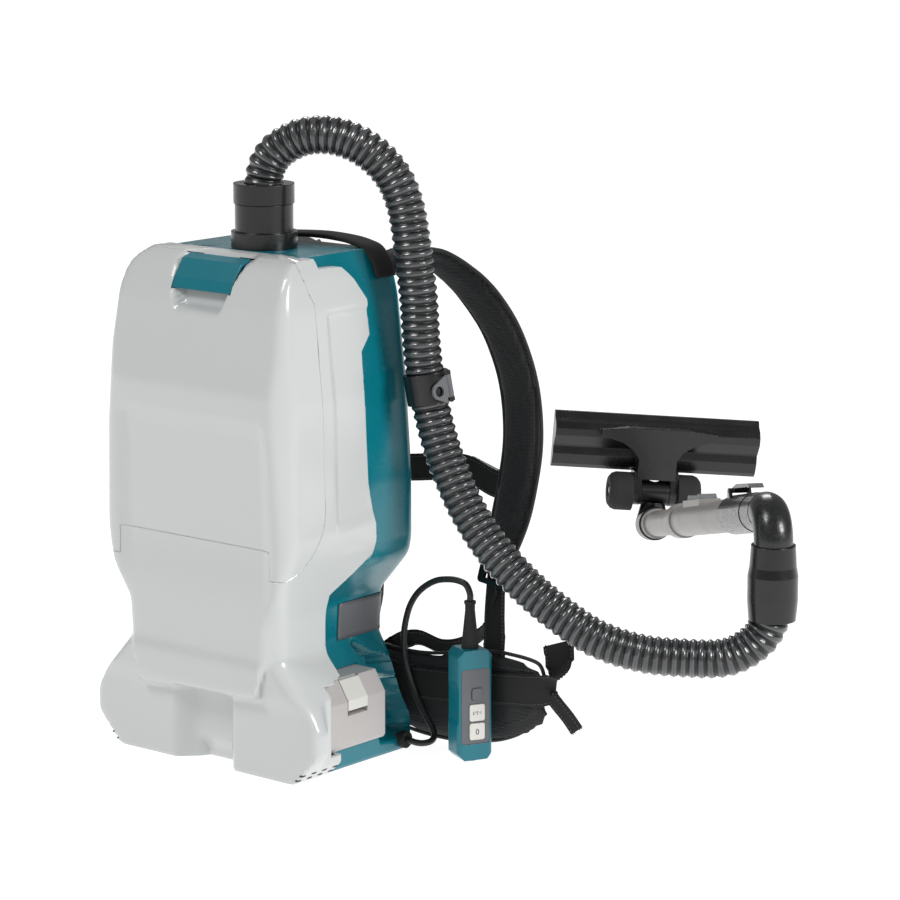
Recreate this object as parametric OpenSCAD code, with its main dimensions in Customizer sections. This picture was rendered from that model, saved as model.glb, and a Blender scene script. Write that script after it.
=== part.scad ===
// Backpack vacuum cleaner with hose, telescopic wand, floor nozzle, harness and
// remote control. Millimetres, +Z up, front towards -Y, wearer towards +Y.
// The origin is the middle of the body's base on the floor.

/* [Body] */
// Height of the housing's top deck
body_h = 440; // [430:1:450]
// Depth of the feet, front face to back face
body_d = 172; // [168:1:178]
// Width across the front feet
foot_w = 230; // [224:1:236]
// Width across the chest of the housing
chest_w = 210; // [206:1:216]
// Width across the shoulders, just under the top deck
top_w = 172; // [166:1:178]
// Width across the front waist
waist_w = 172; // [168:1:174]
// Width across the rear waist
rear_waist_w = 130; // [126:1:136]
// Housing wall
wall = 3; // [2.4:0.1:3.4]
// Height of the parting line at the bottom of the lid
lid_z = 200; // [196:1:204]
// Gap between the lid and the housing
seam = 0.4; // [0.3:0.1:0.6]

/* [Lid hardware] */
// Radius of the lid hinge pins
hinge_pin_r = 2.5; // [2:0.1:3]
// Radius of the round lid tabs on the hinge pins
hinge_tab_r = 12; // [11:0.5:13]
// Width of the latch plate
latch_w = 68; // [60:1:74]
// Width of the grip pocket under the latch
pocket_w = 44; // [38:1:50]
// Thickness of the latch plate
latch_t = 3; // [2.5:0.1:3.5]
// Gasket section
gasket_t = 3.5; // [3:0.1:4]

/* [Battery] */
// Length of a battery pack, the way it slides
pack_l = 102; // [98:1:103]
// Width of a battery pack
pack_w = 76; // [72:1:77]
// Height of a battery pack
pack_h = 59; // [56:1:60]
// Gap between a pack and its bay
pack_gap = 0.6; // [0.5:0.1:0.9]
// Width of the release button
release_w = 25; // [22:1:28]

/* [Fan and motor] */
// Radius of the fan housing
fan_r = 54; // [50:1:56]
// Radius of the impeller
impeller_r = 47; // [42:1:48]
// Number of impeller blades
blades = 9; // [7:1:12]
// Radius of the motor case
motor_r = 36; // [32:1:40]
// Radius of the motor shaft
shaft_r = 4; // [3.5:0.5:5]
// Outer radius of the bearings
bearing_r = 11; // [10:0.5:12]

/* [Inlet and hose] */
// Outer radius of the ribbed hose
hose_r = 16.7; // [16:0.1:17]
// Inner radius of the ribbed hose
hose_bore_r = 13; // [12:0.1:13.2]
// Depth of the hose ribs
rib_depth = 1.8; // [1.2:0.1:2]
// Number of hose ribs
rib_count = 150; // [120:1:170]
// Radius of the inlet base ring
inlet_ring_r = 28.5; // [27:0.5:30]
// Radius of the inlet cylinder
inlet_r = 25; // [24:0.5:26]
// Radius of the coupling ring on the hose
coupling_r = 26.2; // [25:0.1:27]

/* [Handle and wand] */
// Radius of the handle pipe
handle_r = 16.5; // [15.5:0.1:17]
// Wall of the handle pipe
handle_wall = 2.6; // [2:0.1:3]
// Bend radius of the handle pipe
handle_bend_r = 22; // [19:0.5:22]
// Radius of the cuff at its widest
cuff_r = 21.2; // [20.6:0.1:22]
// Outer radius of the outer wand pipe
wand_r = 15; // [14.6:0.1:15.6]
// Outer radius of the inner wand pipe
wand_inner_r = 12.7; // [12:0.1:12.9]
// Wall of the wand pipes
wand_wall = 1.5; // [1.2:0.1:1.8]
// Length of the outer wand pipe
wand_outer_l = 330; // [300:5:340]
// Distance from the handle's bend to the nozzle end of the wand
wand_reach = 533; // [520:1:545]
// Lock button length along the wand
lock_button_l = 60; // [40:1:64]

/* [Nozzle] */
// Width of the floor nozzle
nozzle_w = 205; // [190:1:220]
// Depth of the floor nozzle, front to back
nozzle_d = 56; // [52:1:60]
// Height of the raised air channel above the sole
nozzle_h = 28; // [26:1:32]
// Radius of the wheels
wheel_r = 19; // [17.5:0.5:20]
// Width of a wheel
wheel_w = 23; // [20:1:25]
// Radius of the wheel axle
axle_r = 3; // [2.5:0.5:4]
// Distance between the inner faces of the wheels
wheel_track = 45; // [43:1:50]

/* [Harness] */
// Height of the waist belt wings
belt_h = 80; // [76:1:84]
// Reach of a belt wing from the middle
belt_reach = 230; // [222:1:236]
// Thickness of the belt padding
belt_t = 14; // [11:1:15]
// Width of a shoulder pad
pad_w = 50; // [44:1:56]
// Thickness of a shoulder pad
pad_t = 12; // [9:1:13]
// Width of the wide webbing
web_w = 25; // [22:1:28]
// Thickness of the webbing
web_t = 2; // [1.5:0.1:2.4]
// Thickness of the back pad
back_pad_t = 18; // [12:1:20]

/* [Remote control] */
// Width of the control case
remote_w = 33; // [31:1:35]
// Depth of the control case
remote_d = 25; // [23:1:26]
// Height of the control case
remote_h = 97; // [92:1:100]
// Diameter of the control cord
cord_d = 5.6; // [5:0.1:6.2]

/* [Hidden] */

// --- colours ---
white_c = [0.86, 0.87, 0.87];
teal_c = [0.0, 0.42, 0.47];
black_c = [0.07, 0.07, 0.08];
dark_c = [0.16, 0.16, 0.17];
grey_c = [0.45, 0.44, 0.45];
steel_c = [0.70, 0.70, 0.72];
pack_c = [0.55, 0.51, 0.52];
cream_c = [0.90, 0.89, 0.86];
wand_c = [0.72, 0.70, 0.69];
smoke_c = [0.28, 0.29, 0.30];
board_c = [0.10, 0.35, 0.18];
copper_c = [0.72, 0.45, 0.25];
paper_c = [0.82, 0.78, 0.68];

big = 400;          // reach of cutting solids
cut = 1;            // overshoot of a cut past a face
fit = 0.05;         // running clearance on a radius
clear = 0.3;        // gap between neighbours
round_fn = 32;      // sides of the rounded outlines

// --- body outlines, half widths over height ---
front_y = -body_d / 2;
rear_y = body_d / 2;
foot_x = foot_w / 2;
chest_x = chest_w / 2;
top_x = top_w / 2;
waist_x = waist_w / 2;
rear_waist_x = rear_waist_w / 2;
deck_z = 168;       // filter deck, between fan room and dust chamber
chest_z = 212;      // the chest reaches its full width here
flare = 14;         // the front feet swell this far past their width
white_half = [
    [0, 0], [foot_x - 14, 0], [foot_x + flare, 26], [foot_x + flare, 48], [foot_x + 4, 66],
    [waist_x, 102], [waist_x + 1, 136], [waist_x + 9, 162], [chest_x - 1, 190],
    [chest_x + 2, chest_z], [chest_x - 1, 320], [top_x + 10, body_h - 42],
    [top_x + 4, body_h - 16], [top_x - 5, body_h - 3], [0, body_h]
];
teal_half = [
    [0, 0], [foot_x - 14, 0], [foot_x - 14, 28], [foot_x - 24, 42],
    [rear_waist_x + 12, 78], [rear_waist_x - 1, 100], [rear_waist_x + 2, 137],
    [chest_x - 5, 174], [chest_x - 2, 188], [chest_x - 2, 245],
    [chest_x - 8, 330], [top_x + 2, body_h - 40], [top_x - 4, body_h - 19],
    [top_x - 14, body_h - 3], [0, body_h]
];
// Side outline: depth over height
side_line = [
    [front_y + 2, 0], [front_y + 2, 66], [front_y - 2, 71], [front_y - 2, lid_z],
    [front_y - 5, 300], [front_y - 4, 330], [front_y + 8, body_h - 38],
    [front_y + 16, body_h - 20], [front_y + 26, body_h - 5], [front_y + 42, body_h],
    [rear_y - 26, body_h], [rear_y - 8, body_h - 4], [rear_y, body_h - 16],
    [rear_y, 0]
];
// Plan outline, widest at the front feet
plan_half = [
    [0, -big], [foot_x + flare, -big], [foot_x + flare, -60], [foot_x, -47], [foot_x, 8],
    [chest_x + 2, 20], [chest_x + 2, rear_y - 5], [chest_x - 5, rear_y], [0, rear_y]
];
// Front corners, cut at 45 degrees: x - y over height
corner_line = [
    [0, -1], [foot_x - front_y - 24, -1], [foot_x - front_y - 1, 26],
    [foot_x - front_y - 1, 48], [foot_x - front_y - 12, 66], [waist_x - front_y - 17, 102],
    [waist_x - front_y - 16, 138], [waist_x - front_y, 172], [chest_x - front_y - 9, 200],
    [chest_x - front_y - 11, 290], [chest_x - front_y - 17, 358],
    [chest_x - front_y - 28, 405], [chest_x - front_y - 42, body_h + 1], [0, body_h + 1]
];

// Zone of the rear housing, seen from the side
rear_zone = [
    [28, 180], [28, body_h - 38], [15, body_h - 20], [4, body_h - 9], [-24, body_h - 8],
    [-24, big + body_h], [big, big + body_h], [big, -5], [-30, -5], [-30, 81],
    [-18, 84], [-18, 152], [24, 172]
];
lid_back_y = -40;   // parting line between lid and side frames
lid_top_y = -48;    // parting line between lid and top deck
lid_zone = [
    [lid_back_y, lid_z], [lid_back_y, body_h - 36], [lid_top_y, body_h - 14],
    [lid_top_y, big + body_h], [-big, big + body_h], [-big, lid_z]
];

function mirrored(half) = concat(half, [for (i = [len(half) - 1:-1:0]) [-half[i].x, half[i].y]]);

// Solid whose outline is given in X and Z, running along Y
module across(inset = 0) rotate([90, 0, 0])
    linear_extrude(2 * big, center = true) offset(delta = -inset) children();

// Solid whose outline is given in Y and Z, running along X
module along_x(width = 2 * big) rotate([90, 0, 90])
    linear_extrude(width, center = true) children();

// The housing's form, as one solid, drawn in by inset all round
module form(half, inset = 0) intersection() {
    across(inset) polygon(mirrored(half));
    along_x() offset(delta = -inset) polygon(side_line);
    translate([0, 0, -cut]) linear_extrude(body_h + 2 * cut) offset(delta = -inset)
        polygon(mirrored(plan_half));
    for (side = [-45, 225]) rotate([0, 0, side]) rotate([90, 0, 0])
        linear_extrude(2 * big, center = true) offset(delta = -inset)
            polygon([for (p = corner_line) [p.x == 0 ? -big : p.x * sqrt(0.5), p.y]]);
}

module below(z) translate([-big, -big, z - 2 * big]) cube([2 * big, 2 * big, 2 * big]);
module above(z) translate([-big, -big, z]) cube([2 * big, 2 * big, 2 * big]);
module behind(y) translate([-big, y, -big]) cube([2 * big, 2 * big, 4 * big]);
module box(low, high) translate(low) cube(high - low);
module both_sides() {
    children();
    mirror([1, 0, 0]) children();
}
module rod_x(r, x0, x1, y, z) translate([x0, y, z]) rotate([0, 90, 0])
    cylinder(r = r, h = x1 - x0, $fn = 48);
module rod_y(r, y0, y1, x, z) translate([x, y0, z]) rotate([-90, 0, 0])
    cylinder(r = r, h = y1 - y0, $fn = 48);
module ring(r_out, r_in, h) difference() {
    cylinder(r = r_out, h = h, $fn = 72);
    translate([0, 0, -cut]) cylinder(r = r_in, h = h + 2 * cut, $fn = 72);
}

// --- lid hinge, latch and seat ---
hinge_y = front_y + 12;
hinge_z = lid_z - 12;
hinge_in_x = chest_x - 18;        // inner face of the lid tabs
lip_r = norm([front_y - 2 - hinge_y, lid_z + seam / 2 - hinge_z]);  // arc of the lid's lower lip
sill_t = wall;                    // shelf under the lid and seat behind it
seat_y = lid_back_y + seam / 2;   // front face of the lid's seat
opening_x = chest_x - wall - 16;  // half width of the chamber's mouth
opening_z0 = lid_z + 14;
opening_z1 = body_h - 46;
latch_pin_y = front_y + 27;
latch_pin_z = body_h - 13;
latch_pin_r = 1.6;
latch_lug_r = 4;
latch_lug_w = 24;
latch_turn = 1.2;                 // room behind the lug and under the plate's back for its turn
latch_back_y = lid_top_y - 1.5;   // rear edge of the latch plate
hook_top = body_h - 8;
hook_w = 20;
plate_z0 = body_h - 29;           // lower edge of the latch plate
backing_t = 11;                   // thickness of the lid behind the latch

tab_swing_r = norm([front_y - 2 - hinge_y, hinge_tab_r]);  // reach of a tab's lower corner

// Round pocket for a lid tab, with its neck up to the lid and room for its corner to swing
module tab_space(grow, top = lid_z) both_sides() {
    rod_x(hinge_tab_r + grow, hinge_in_x - grow, big, hinge_y, hinge_z);
    if (grow > 0) intersection() {
        rod_x(tab_swing_r + grow, hinge_in_x - grow, big, hinge_y, hinge_z);
        below(hinge_z);
    }
    box([hinge_in_x - grow, -big, hinge_z], [big, hinge_y + hinge_tab_r + grow, top + grow]);
    box([hinge_in_x - grow, -big, hinge_z - hinge_tab_r - grow], [big, hinge_y, hinge_z + cut]);
}

// The room inside the housing, with gap left to its walls
module hollow(gap = 0) intersection() {
    union() {
        intersection() {
            form(white_half, wall + gap);
            along_x() offset(delta = -wall - gap) difference() {
                translate([-big, -big]) square([2 * big, 3 * big]);
                polygon(rear_zone);
            }
        }
        form(teal_half, wall + gap);
    }
    union() {
        below(lid_z - sill_t - gap);
        behind(seat_y + sill_t + gap);
    }
}

// --- battery bay sizes ---
bay_y = -4;                       // middle of the bay along Y
pack_z0 = 19.5;
pack_x1 = 109.5;                  // outer face of the packs
pack_x0 = pack_x1 - pack_l;
bay_low_y = bay_y - pack_w / 2 - pack_gap;
bay_high_y = bay_y + pack_w / 2 + pack_gap;
bay_z0 = pack_z0 - 0.3;
bay_z1 = pack_z0 + pack_h + pack_gap;
tray_t = 2.5;
bay_x0 = pack_x0 - 1.5;

// Recess between the two front feet
arch_x = 37;
arch_in_x = 18;
arch_depth = 14;
arch_z = 68;
module arch(grow = 0) {
    translate([0, 0, -cut]) linear_extrude(arch_z + cut + grow) offset(delta = grow) polygon([
        [-arch_x, front_y - 5], [arch_x, front_y - 5], [arch_x, front_y + 1.9],
        [arch_in_x, front_y + arch_depth], [-arch_in_x, front_y + arch_depth],
        [-arch_x, front_y + 1.9]]);
    intersection() {
        along_x() offset(delta = grow) polygon([
            [front_y - 5, -5], [front_y + 38, -5], [front_y + 38, 0],
            [front_y + arch_depth, 22], [front_y - 5, 22]]);
        translate([0, 0, -cut]) linear_extrude(60) offset(delta = grow) polygon([
            [-arch_x, front_y - 5], [arch_x, front_y - 5], [arch_x, front_y + 1.9],
            [arch_in_x, front_y + arch_depth], [arch_in_x, front_y + 39],
            [-arch_in_x, front_y + 39], [-arch_in_x, front_y + arch_depth],
            [-arch_x, front_y + 1.9]]);
    }
}

// Windows in the housing sides that the packs slide through
module pack_windows() both_sides()
    box([foot_x - 60, bay_low_y, bay_z0], [big, bay_high_y, bay_z1]);

// --- rubber feet and screws ---
pad_r = 9;
pad_t0 = 1.5;
pad_spots = [[-78, -62], [78, -62], [-78, 66], [78, 66]];
post_x = chest_x - 21;
post_r = 5;
post_spots = [[post_x, 232], [post_x, 318]];
screw_r = 2;
screw_head_r = 4;
screw_l = 20;
screw_head_t = 3;

module pad_pockets() for (p = pad_spots) translate([p.x, p.y, -cut])
    cylinder(r = pad_r + fit, h = pad_t0 + cut, $fn = 48);

module screw_posts() both_sides() for (p = post_spots) {
    rod_y(post_r, 20, rear_y - 21, p.x, p.y);
    intersection() {
        box([p.x, 18, p.y - 4], [big, 27.8, p.y + 4]);
        form(white_half, 0.5);
    }
}

// Slots of the exhaust, under the outer edge of the front feet
slot_n = 4;
module exhaust_slots() both_sides() for (i = [0:slot_n - 1], j = [0:1])
    translate([foot_x - 19 + 5 * i, front_y + 14 + 11 * i, 4 + 5 * j])
        rotate([0, 0, 48]) cube([9, 24, 2.6], center = true);

module rear_housing() color(teal_c) difference() {
    union() {
        difference() {
            intersection() {
                form(teal_half);
                along_x() polygon(rear_zone);
            }
            hollow();
        }
        both_sides() for (p = post_spots)
            rod_y(post_r + 1, rear_y - 20.5, rear_y - 1, p.x, p.y);
    }
    both_sides() for (p = post_spots) {
        rod_y(screw_r + 0.2, rear_y - 21, rear_y + cut, p.x, p.y);
        rod_y(screw_head_r + 0.2, rear_y - screw_head_t - 1, rear_y + cut, p.x, p.y);
    }
    pack_windows();
    pad_pockets();
    translate([0, inlet_y, body_h - 2 * wall]) cylinder(r = spigot_r + clear, h = 3 * wall, $fn = 72);
    rod_x(gland_r + fit, gland_x - wall - cut, gland_x + cut, gland_y, gland_z);
}

module front_housing() color(white_c) difference() {
    union() {
        difference() {
            form(white_half);
            along_x() polygon(rear_zone);
            hollow();
            intersection() {
                form(white_half, wall);
                box([-opening_x, lid_back_y - 9, opening_z0], [opening_x, seat_y + 9, opening_z1]);
            }
            along_x() offset(delta = seam / 2) polygon(lid_zone);
        }
        intersection() {
            form(white_half);
            union() {
                arch(wall);
                intersection() {
                    tab_space(wall + seam);
                    box([-big, -big, 0], [big, big, lid_z - seam / 2]);
                }
            }
            difference() {
                above(-cut);
                along_x() polygon(rear_zone);
            }
        }
        both_sides() rod_x(hinge_pin_r + 3, hinge_in_x - 9, hinge_in_x - 1, hinge_y, hinge_z);
        screw_posts();
    }
    difference() {
        box([-hook_w / 2 - 1, lid_top_y - 2, body_h - 22], [hook_w / 2 + 1, lid_top_y + 10, body_h - 3]);
        box([-big, lid_top_y + 1, body_h - 7], [big, lid_top_y + 3, body_h]);
    }
    arch();
    tab_space(seam);
    both_sides() rod_x(hinge_pin_r + fit, hinge_in_x - 9 - cut, hinge_in_x + cut, hinge_y, hinge_z);
    both_sides() for (p = post_spots)
        rod_y(screw_r, rear_y - 21 - screw_l, rear_y, p.x, p.y);
    pack_windows();
    pad_pockets();
    exhaust_slots();
}

module front_lid() color(white_c) difference() {
    union() {
        difference() {
            intersection() {
                form(white_half);
                along_x() offset(delta = -seam / 2) polygon(lid_zone);
            }
            difference() {
                intersection() {
                    form(white_half, wall);
                    difference() {
                        above(lid_z + seam / 2 + wall);
                        rod_x(lip_r + wall, -hinge_in_x - wall, hinge_in_x + wall, hinge_y, hinge_z);
                    }
                }
                intersection() {
                    box([-latch_w / 2 - 5, -big, plate_z0 - 14],
                        [latch_w / 2 + 5, lid_top_y, body_h]);
                    difference() {
                        along_x() polygon(side_line);
                        along_x() offset(delta = -backing_t) polygon(side_line);
                    }
                }
            }
        }
        intersection() {
            form(white_half);
            tab_space(0, lid_z + wall);
        }
    }
    // Recess for the latch plate, grip pocket under it, slots for lug and hook
    difference() {
        box([-latch_w / 2 - clear, -big, plate_z0 - clear], [latch_w / 2 + clear, lid_top_y, big + body_h]);
        along_x() offset(delta = -latch_t - clear) polygon(side_line);
    }
    difference() {
        box([-latch_w / 2 - clear, latch_pin_y - 2, plate_z0],
            [latch_w / 2 + clear, lid_top_y, big + body_h]);
        along_x() offset(delta = -latch_t - clear - latch_turn) polygon(side_line);
    }
    intersection() {
        box([-pocket_w / 2, -big, plate_z0 - 9], [pocket_w / 2, lid_top_y - 10, plate_z0 + 8]);
        difference() {
            above(0);
            along_x() offset(delta = -backing_t + 2.5) polygon(side_line);
        }
    }
    rod_x(latch_lug_r + clear, -latch_lug_w / 2 - clear, latch_lug_w / 2 + clear, latch_pin_y, latch_pin_z);
    box([-latch_lug_w / 2 - clear, latch_pin_y - latch_lug_r - clear, latch_pin_z],
        [latch_lug_w / 2 + clear, latch_pin_y + latch_lug_r + latch_turn, big + body_h]);
    box([-hook_w / 2 - clear, latch_pin_y, latch_pin_z - 7], [hook_w / 2 + clear, 0, body_h - wall - clear]);
    rod_x(latch_pin_r + fit, -latch_lug_w / 2 - 8, latch_lug_w / 2 + 8, latch_pin_y, latch_pin_z);
    both_sides() rod_x(hinge_pin_r + fit, hinge_in_x - cut, hinge_in_x + 10, hinge_y, hinge_z);
    // The lower lip rolls over the housing's sill as the lid turns
    rod_x(lip_r, -hinge_in_x, hinge_in_x, hinge_y, hinge_z);
}

module lid_hinge_pins() color(steel_c) both_sides()
    rod_x(hinge_pin_r, hinge_in_x - 9, hinge_in_x + 9, hinge_y, hinge_z);

module lid_gasket() color(dark_c) translate([0, seat_y - gasket_t, 0]) rotate([-90, 0, 0])
    linear_extrude(gasket_t) difference() {
        offset(gasket_r, $fn = round_fn) offset(delta = -gasket_r) gasket_outline(8);
        gasket_outline(2);
    }
gasket_r = 20;      // rounding of the gasket's corners
module gasket_outline(grow)
    translate([-opening_x - grow, -opening_z1 - grow])
        square([2 * (opening_x + grow), opening_z1 - opening_z0 + 2 * grow]);

module lid_latch() color(teal_c) difference() {
    union() {
        intersection() {
            box([-latch_w / 2, -big, plate_z0], [latch_w / 2, latch_back_y, big + body_h]);
            difference() {
                along_x() polygon(side_line);
                along_x() offset(delta = -latch_t) polygon(side_line);
            }
        }
        rod_x(latch_lug_r, -latch_lug_w / 2, latch_lug_w / 2, latch_pin_y, latch_pin_z);
        intersection() {
            box([-latch_lug_w / 2, latch_pin_y - latch_lug_r, latch_pin_z],
                [latch_lug_w / 2, latch_pin_y + latch_lug_r, body_h]);
            along_x() offset(delta = -latch_t / 2) polygon(side_line);
        }
        box([-hook_w / 2, latch_pin_y, latch_pin_z - 3], [hook_w / 2, lid_top_y + 7, latch_pin_z + 1]);
        box([-hook_w / 2, lid_top_y + 4, latch_pin_z - 3], [hook_w / 2, lid_top_y + 7, hook_top]);
    }
    rod_x(latch_pin_r + fit, -latch_lug_w / 2 - cut, latch_lug_w / 2 + cut, latch_pin_y, latch_pin_z);
}

module latch_pin() color(steel_c)
    rod_x(latch_pin_r, -latch_lug_w / 2 - 7, latch_lug_w / 2 + 7, latch_pin_y, latch_pin_z);

// --- dust bag, filter, deck ---
inlet_y = 5.5;
spigot_r = 17;
spigot_z = body_h - 38;           // lower end of the inlet spigot
collar_z = body_h - 32;           // card collar of the dust bag
collar_t = 3;
bag_r = 14;                       // rounding of the bag's edges
bag_x = 74;
bag_side = [[-74, opening_z0 + 3], [-66, opening_z1 - 32], [-35, opening_z1 - 2], [-33, collar_z],
    [44, collar_z], [66, collar_z - 12], [66, opening_z0 + 3]];
module rounded(r) offset(r, $fn = round_fn) offset(delta = -r) children();
module dust_bag() color(paper_c) difference() {
    union() {
        intersection() {
            along_x(2 * bag_x) rounded(bag_r) polygon(bag_side);
            linear_extrude(body_h) rounded(bag_r) translate([-bag_x, -74]) square([2 * bag_x, 140]);
        }
        translate([-52, -26, collar_z]) cube([104, 64, collar_t]);
    }
    translate([0, inlet_y, spigot_z - 4]) cylinder(r = spigot_r + clear, h = big, $fn = 72);
    // The lid's inner edge sweeps past here as it opens
    rod_x(lid_sweep_r + 1.2, -big, big, hinge_y, hinge_z);
}
lid_sweep_r = norm([lid_back_y - hinge_y, lid_z + wall + seam - hinge_z]);

filter_x = 62;
filter_y0 = -34;
filter_y1 = 64;
filter_h = 28;
pleats = 16;
filter_z = deck_z + wall;
module main_filter() color(paper_c) {
    difference() {
        box([-filter_x, filter_y0, filter_z], [filter_x, filter_y1, filter_z + filter_h]);
        box([-filter_x + 4, filter_y0 + 4, filter_z - cut],
            [filter_x - 4, filter_y1 - 4, filter_z + filter_h + cut]);
    }
    pleat_step = 2 * (filter_x - 4) / pleats;
    translate([0, filter_y1 - 3.5, filter_z + 2]) rotate([90, 0, 0])
        linear_extrude(filter_y1 - filter_y0 - 7) polygon(concat(
            [for (i = [0:pleats]) [-filter_x + 3.5 + i * (pleat_step + 0.06), (i % 2) * (filter_h - 7)]],
            [for (i = [pleats:-1:0])
                [-filter_x + 3.5 + i * (pleat_step + 0.06), 2.4 + (i % 2) * (filter_h - 7)]]));
}

module filter_deck() color(grey_c) difference() {
    intersection() {
        hollow(clear);
        box([-big, -big, deck_z], [big, big, deck_z + wall]);
    }
    translate([0, 0, deck_z - cut]) cylinder(r = 36, h = wall + 2 * cut, $fn = 72);
    tab_space(wall + seam + clear);
}

// --- fan and motor, on the vertical axis ---
tray_top = bay_z1 + tray_t;
mount_t = 3;
motor_z0 = tray_top + mount_t;
motor_h = 33;
fan_z0 = motor_z0 + motor_h;
fan_z1 = deck_z - mount_t;
fan_wall = 2.5;
impeller_z0 = fan_z0 + 6;
impeller_h = 22;
bearing_h = 7;
shaft_z0 = motor_z0 + 2.3;
shaft_z1 = impeller_z0 + impeller_h + 3;

module fan_housing() color(dark_c) difference() {
    translate([0, 0, fan_z0]) cylinder(r = fan_r, h = fan_z1 - fan_z0, $fn = 96);
    translate([0, 0, fan_z0 + fan_wall])
        cylinder(r = fan_r - fan_wall, h = fan_z1 - fan_z0 - 2 * fan_wall, $fn = 96);
    translate([0, 0, fan_z1 - fan_wall - cut]) cylinder(r = 22, h = fan_wall + 2 * cut, $fn = 72);
    translate([0, 0, fan_z0 - cut]) cylinder(r = shaft_r + 4, h = fan_wall + 2 * cut, $fn = 48);
    for (i = [0:5]) rotate([0, 0, 60 * i + 30]) translate([fan_r - 9, 0, fan_z0 - cut])
        cylinder(r = 5, h = fan_wall + 2 * cut, $fn = 32);
}

module impeller() color(steel_c) difference() {
    translate([0, 0, impeller_z0]) {
        cylinder(r = impeller_r, h = 2, $fn = 96);
        cylinder(r = shaft_r + 5, h = impeller_h, $fn = 48);
        for (i = [0:blades - 1]) rotate([0, 0, i * 360 / blades])
            intersection() {
                translate([impeller_r / 2, impeller_r * 0.42, 0])
                    ring(impeller_r * 0.62, impeller_r * 0.62 - 1.6, impeller_h - 4);
                translate([shaft_r + 4, -impeller_r, 0]) cube([impeller_r, impeller_r, impeller_h]);
                cylinder(r = impeller_r - 0.5, h = impeller_h, $fn = 96);
            }
    }
    translate([0, 0, impeller_z0 - cut]) cylinder(r = shaft_r, h = impeller_h + 2 * cut, $fn = 48);
}

module motor_case() color(steel_c) difference() {
    translate([0, 0, motor_z0]) cylinder(r = motor_r, h = motor_h - clear, $fn = 96);
    translate([0, 0, motor_z0 + bearing_h]) cylinder(r = motor_r - 6, h = motor_h - 2 * bearing_h, $fn = 96);
    translate([0, 0, motor_z0 + 2]) cylinder(r = bearing_r, h = bearing_h, $fn = 48);
    translate([0, 0, motor_z0 + motor_h - bearing_h - 2]) cylinder(r = bearing_r, h = bearing_h, $fn = 48);
    translate([0, 0, motor_z0 + motor_h - 4]) cylinder(r = shaft_r + 4, h = 6, $fn = 48);
    for (i = [0:7]) rotate([0, 0, 45 * i])
        box([motor_r - 9, -3, motor_z0 + 11], [motor_r + 2, 3, motor_z0 + motor_h - 10]);
}

module motor_shaft() color(steel_c)
    translate([0, 0, shaft_z0]) cylinder(r = shaft_r, h = shaft_z1 - shaft_z0, $fn = 48);

module motor_bearings() color(steel_c) for (z = [motor_z0 + 2, motor_z0 + motor_h - bearing_h - 2])
    translate([0, 0, z]) ring(bearing_r, shaft_r + fit, bearing_h);

module motor_mounts() color(black_c) {
    translate([0, 0, tray_top]) ring(motor_r - 4, motor_r - 12, mount_t);
    translate([0, 0, fan_z1]) ring(fan_r - 4, 37, mount_t);
}

// --- battery tray, terminals, packs ---
module battery_tray() color(dark_c) difference() {
    intersection() {
        hollow(clear);
        box([-big, bay_low_y - tray_t, wall + clear], [big, bay_high_y + tray_t, tray_top]);
    }
    both_sides() box([bay_x0, bay_low_y, bay_z0], [big, bay_high_y, bay_z1]);
    both_sides() box([8, bay_low_y + 6, -cut], [foot_x - 30, bay_high_y - 6, bay_z0 - tray_t]);
    both_sides() box([bay_x0 - 4.2, bay_y - 22, bay_z0 + 34], [bay_x0 + cut, bay_y + 22, bay_z0 + 52]);
}

module battery_terminals() color(copper_c) both_sides() {
    box([bay_x0 - 4, bay_y - 21.8, bay_z0 + 34.2], [bay_x0 - 0.2, bay_y + 21.8, bay_z0 + 51.8]);
    for (y = [bay_y - 16, bay_y + 14]) box([bay_x0 - 1, y, bay_z0 + 37], [bay_x0 + 9, y + 1.6, bay_z0 + 49]);
}

module pack() {
    slope_x = pack_x1 - 11;
    slope_z = pack_z0 + pack_h - 18;
    color(pack_c) difference() {
        translate([0, bay_y + pack_w / 2, 0]) rotate([90, 0, 0]) linear_extrude(pack_w) polygon([
            [pack_x0, pack_z0], [pack_x1 - 2, pack_z0], [pack_x1, pack_z0 + 3],
            [pack_x1, slope_z], [slope_x, pack_z0 + pack_h], [pack_x0, pack_z0 + pack_h]]);
        // Seat of the release button
        translate([0, bay_y + 2 - release_w / 2 - clear, 0])
            box([slope_x - 3, 0, slope_z - 8 - clear - 4], [big, release_w + 2 * clear, big]);
        // Slots for the terminals
        for (y = [bay_y - 16, bay_y + 14])
            box([pack_x0 - cut, y - 1, bay_z0 + 36], [pack_x0 + 11, y + 2.6, bay_z0 + 50]);
    }
}

module release_button() {
    slope_x = pack_x1 - 11;
    slope_z = pack_z0 + pack_h - 18;
    top_z = pack_z0 + pack_h - 1;
    color(cream_c) translate([0, bay_y + 2 + release_w / 2, 0]) rotate([90, 0, 0])
        linear_extrude(release_w) polygon([
            [slope_x - 2.7, slope_z - 8], [pack_x1 + 0.6, slope_z - 8], [pack_x1 + 0.6, slope_z + 1],
            [slope_x + 1, top_z], [slope_x - 2.7, top_z]]);
}

module battery_right() pack();
module battery_left() mirror([1, 0, 0]) pack();
module release_button_right() release_button();
module release_button_left() mirror([1, 0, 0]) release_button();

module circuit_board() color(board_c) {
    box([-46, bay_high_y + tray_t + 3, 12], [46, bay_high_y + tray_t + 4.6, 70]);
    for (x = [-40, 40], z = [18, 64]) rod_y(2.5, bay_high_y + tray_t, bay_high_y + tray_t + 3, x, z);
    for (i = [0:3]) rod_y(6, bay_high_y + tray_t + 4.6, bay_high_y + tray_t + 20, -27 + 18 * i, 34);
}

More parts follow.
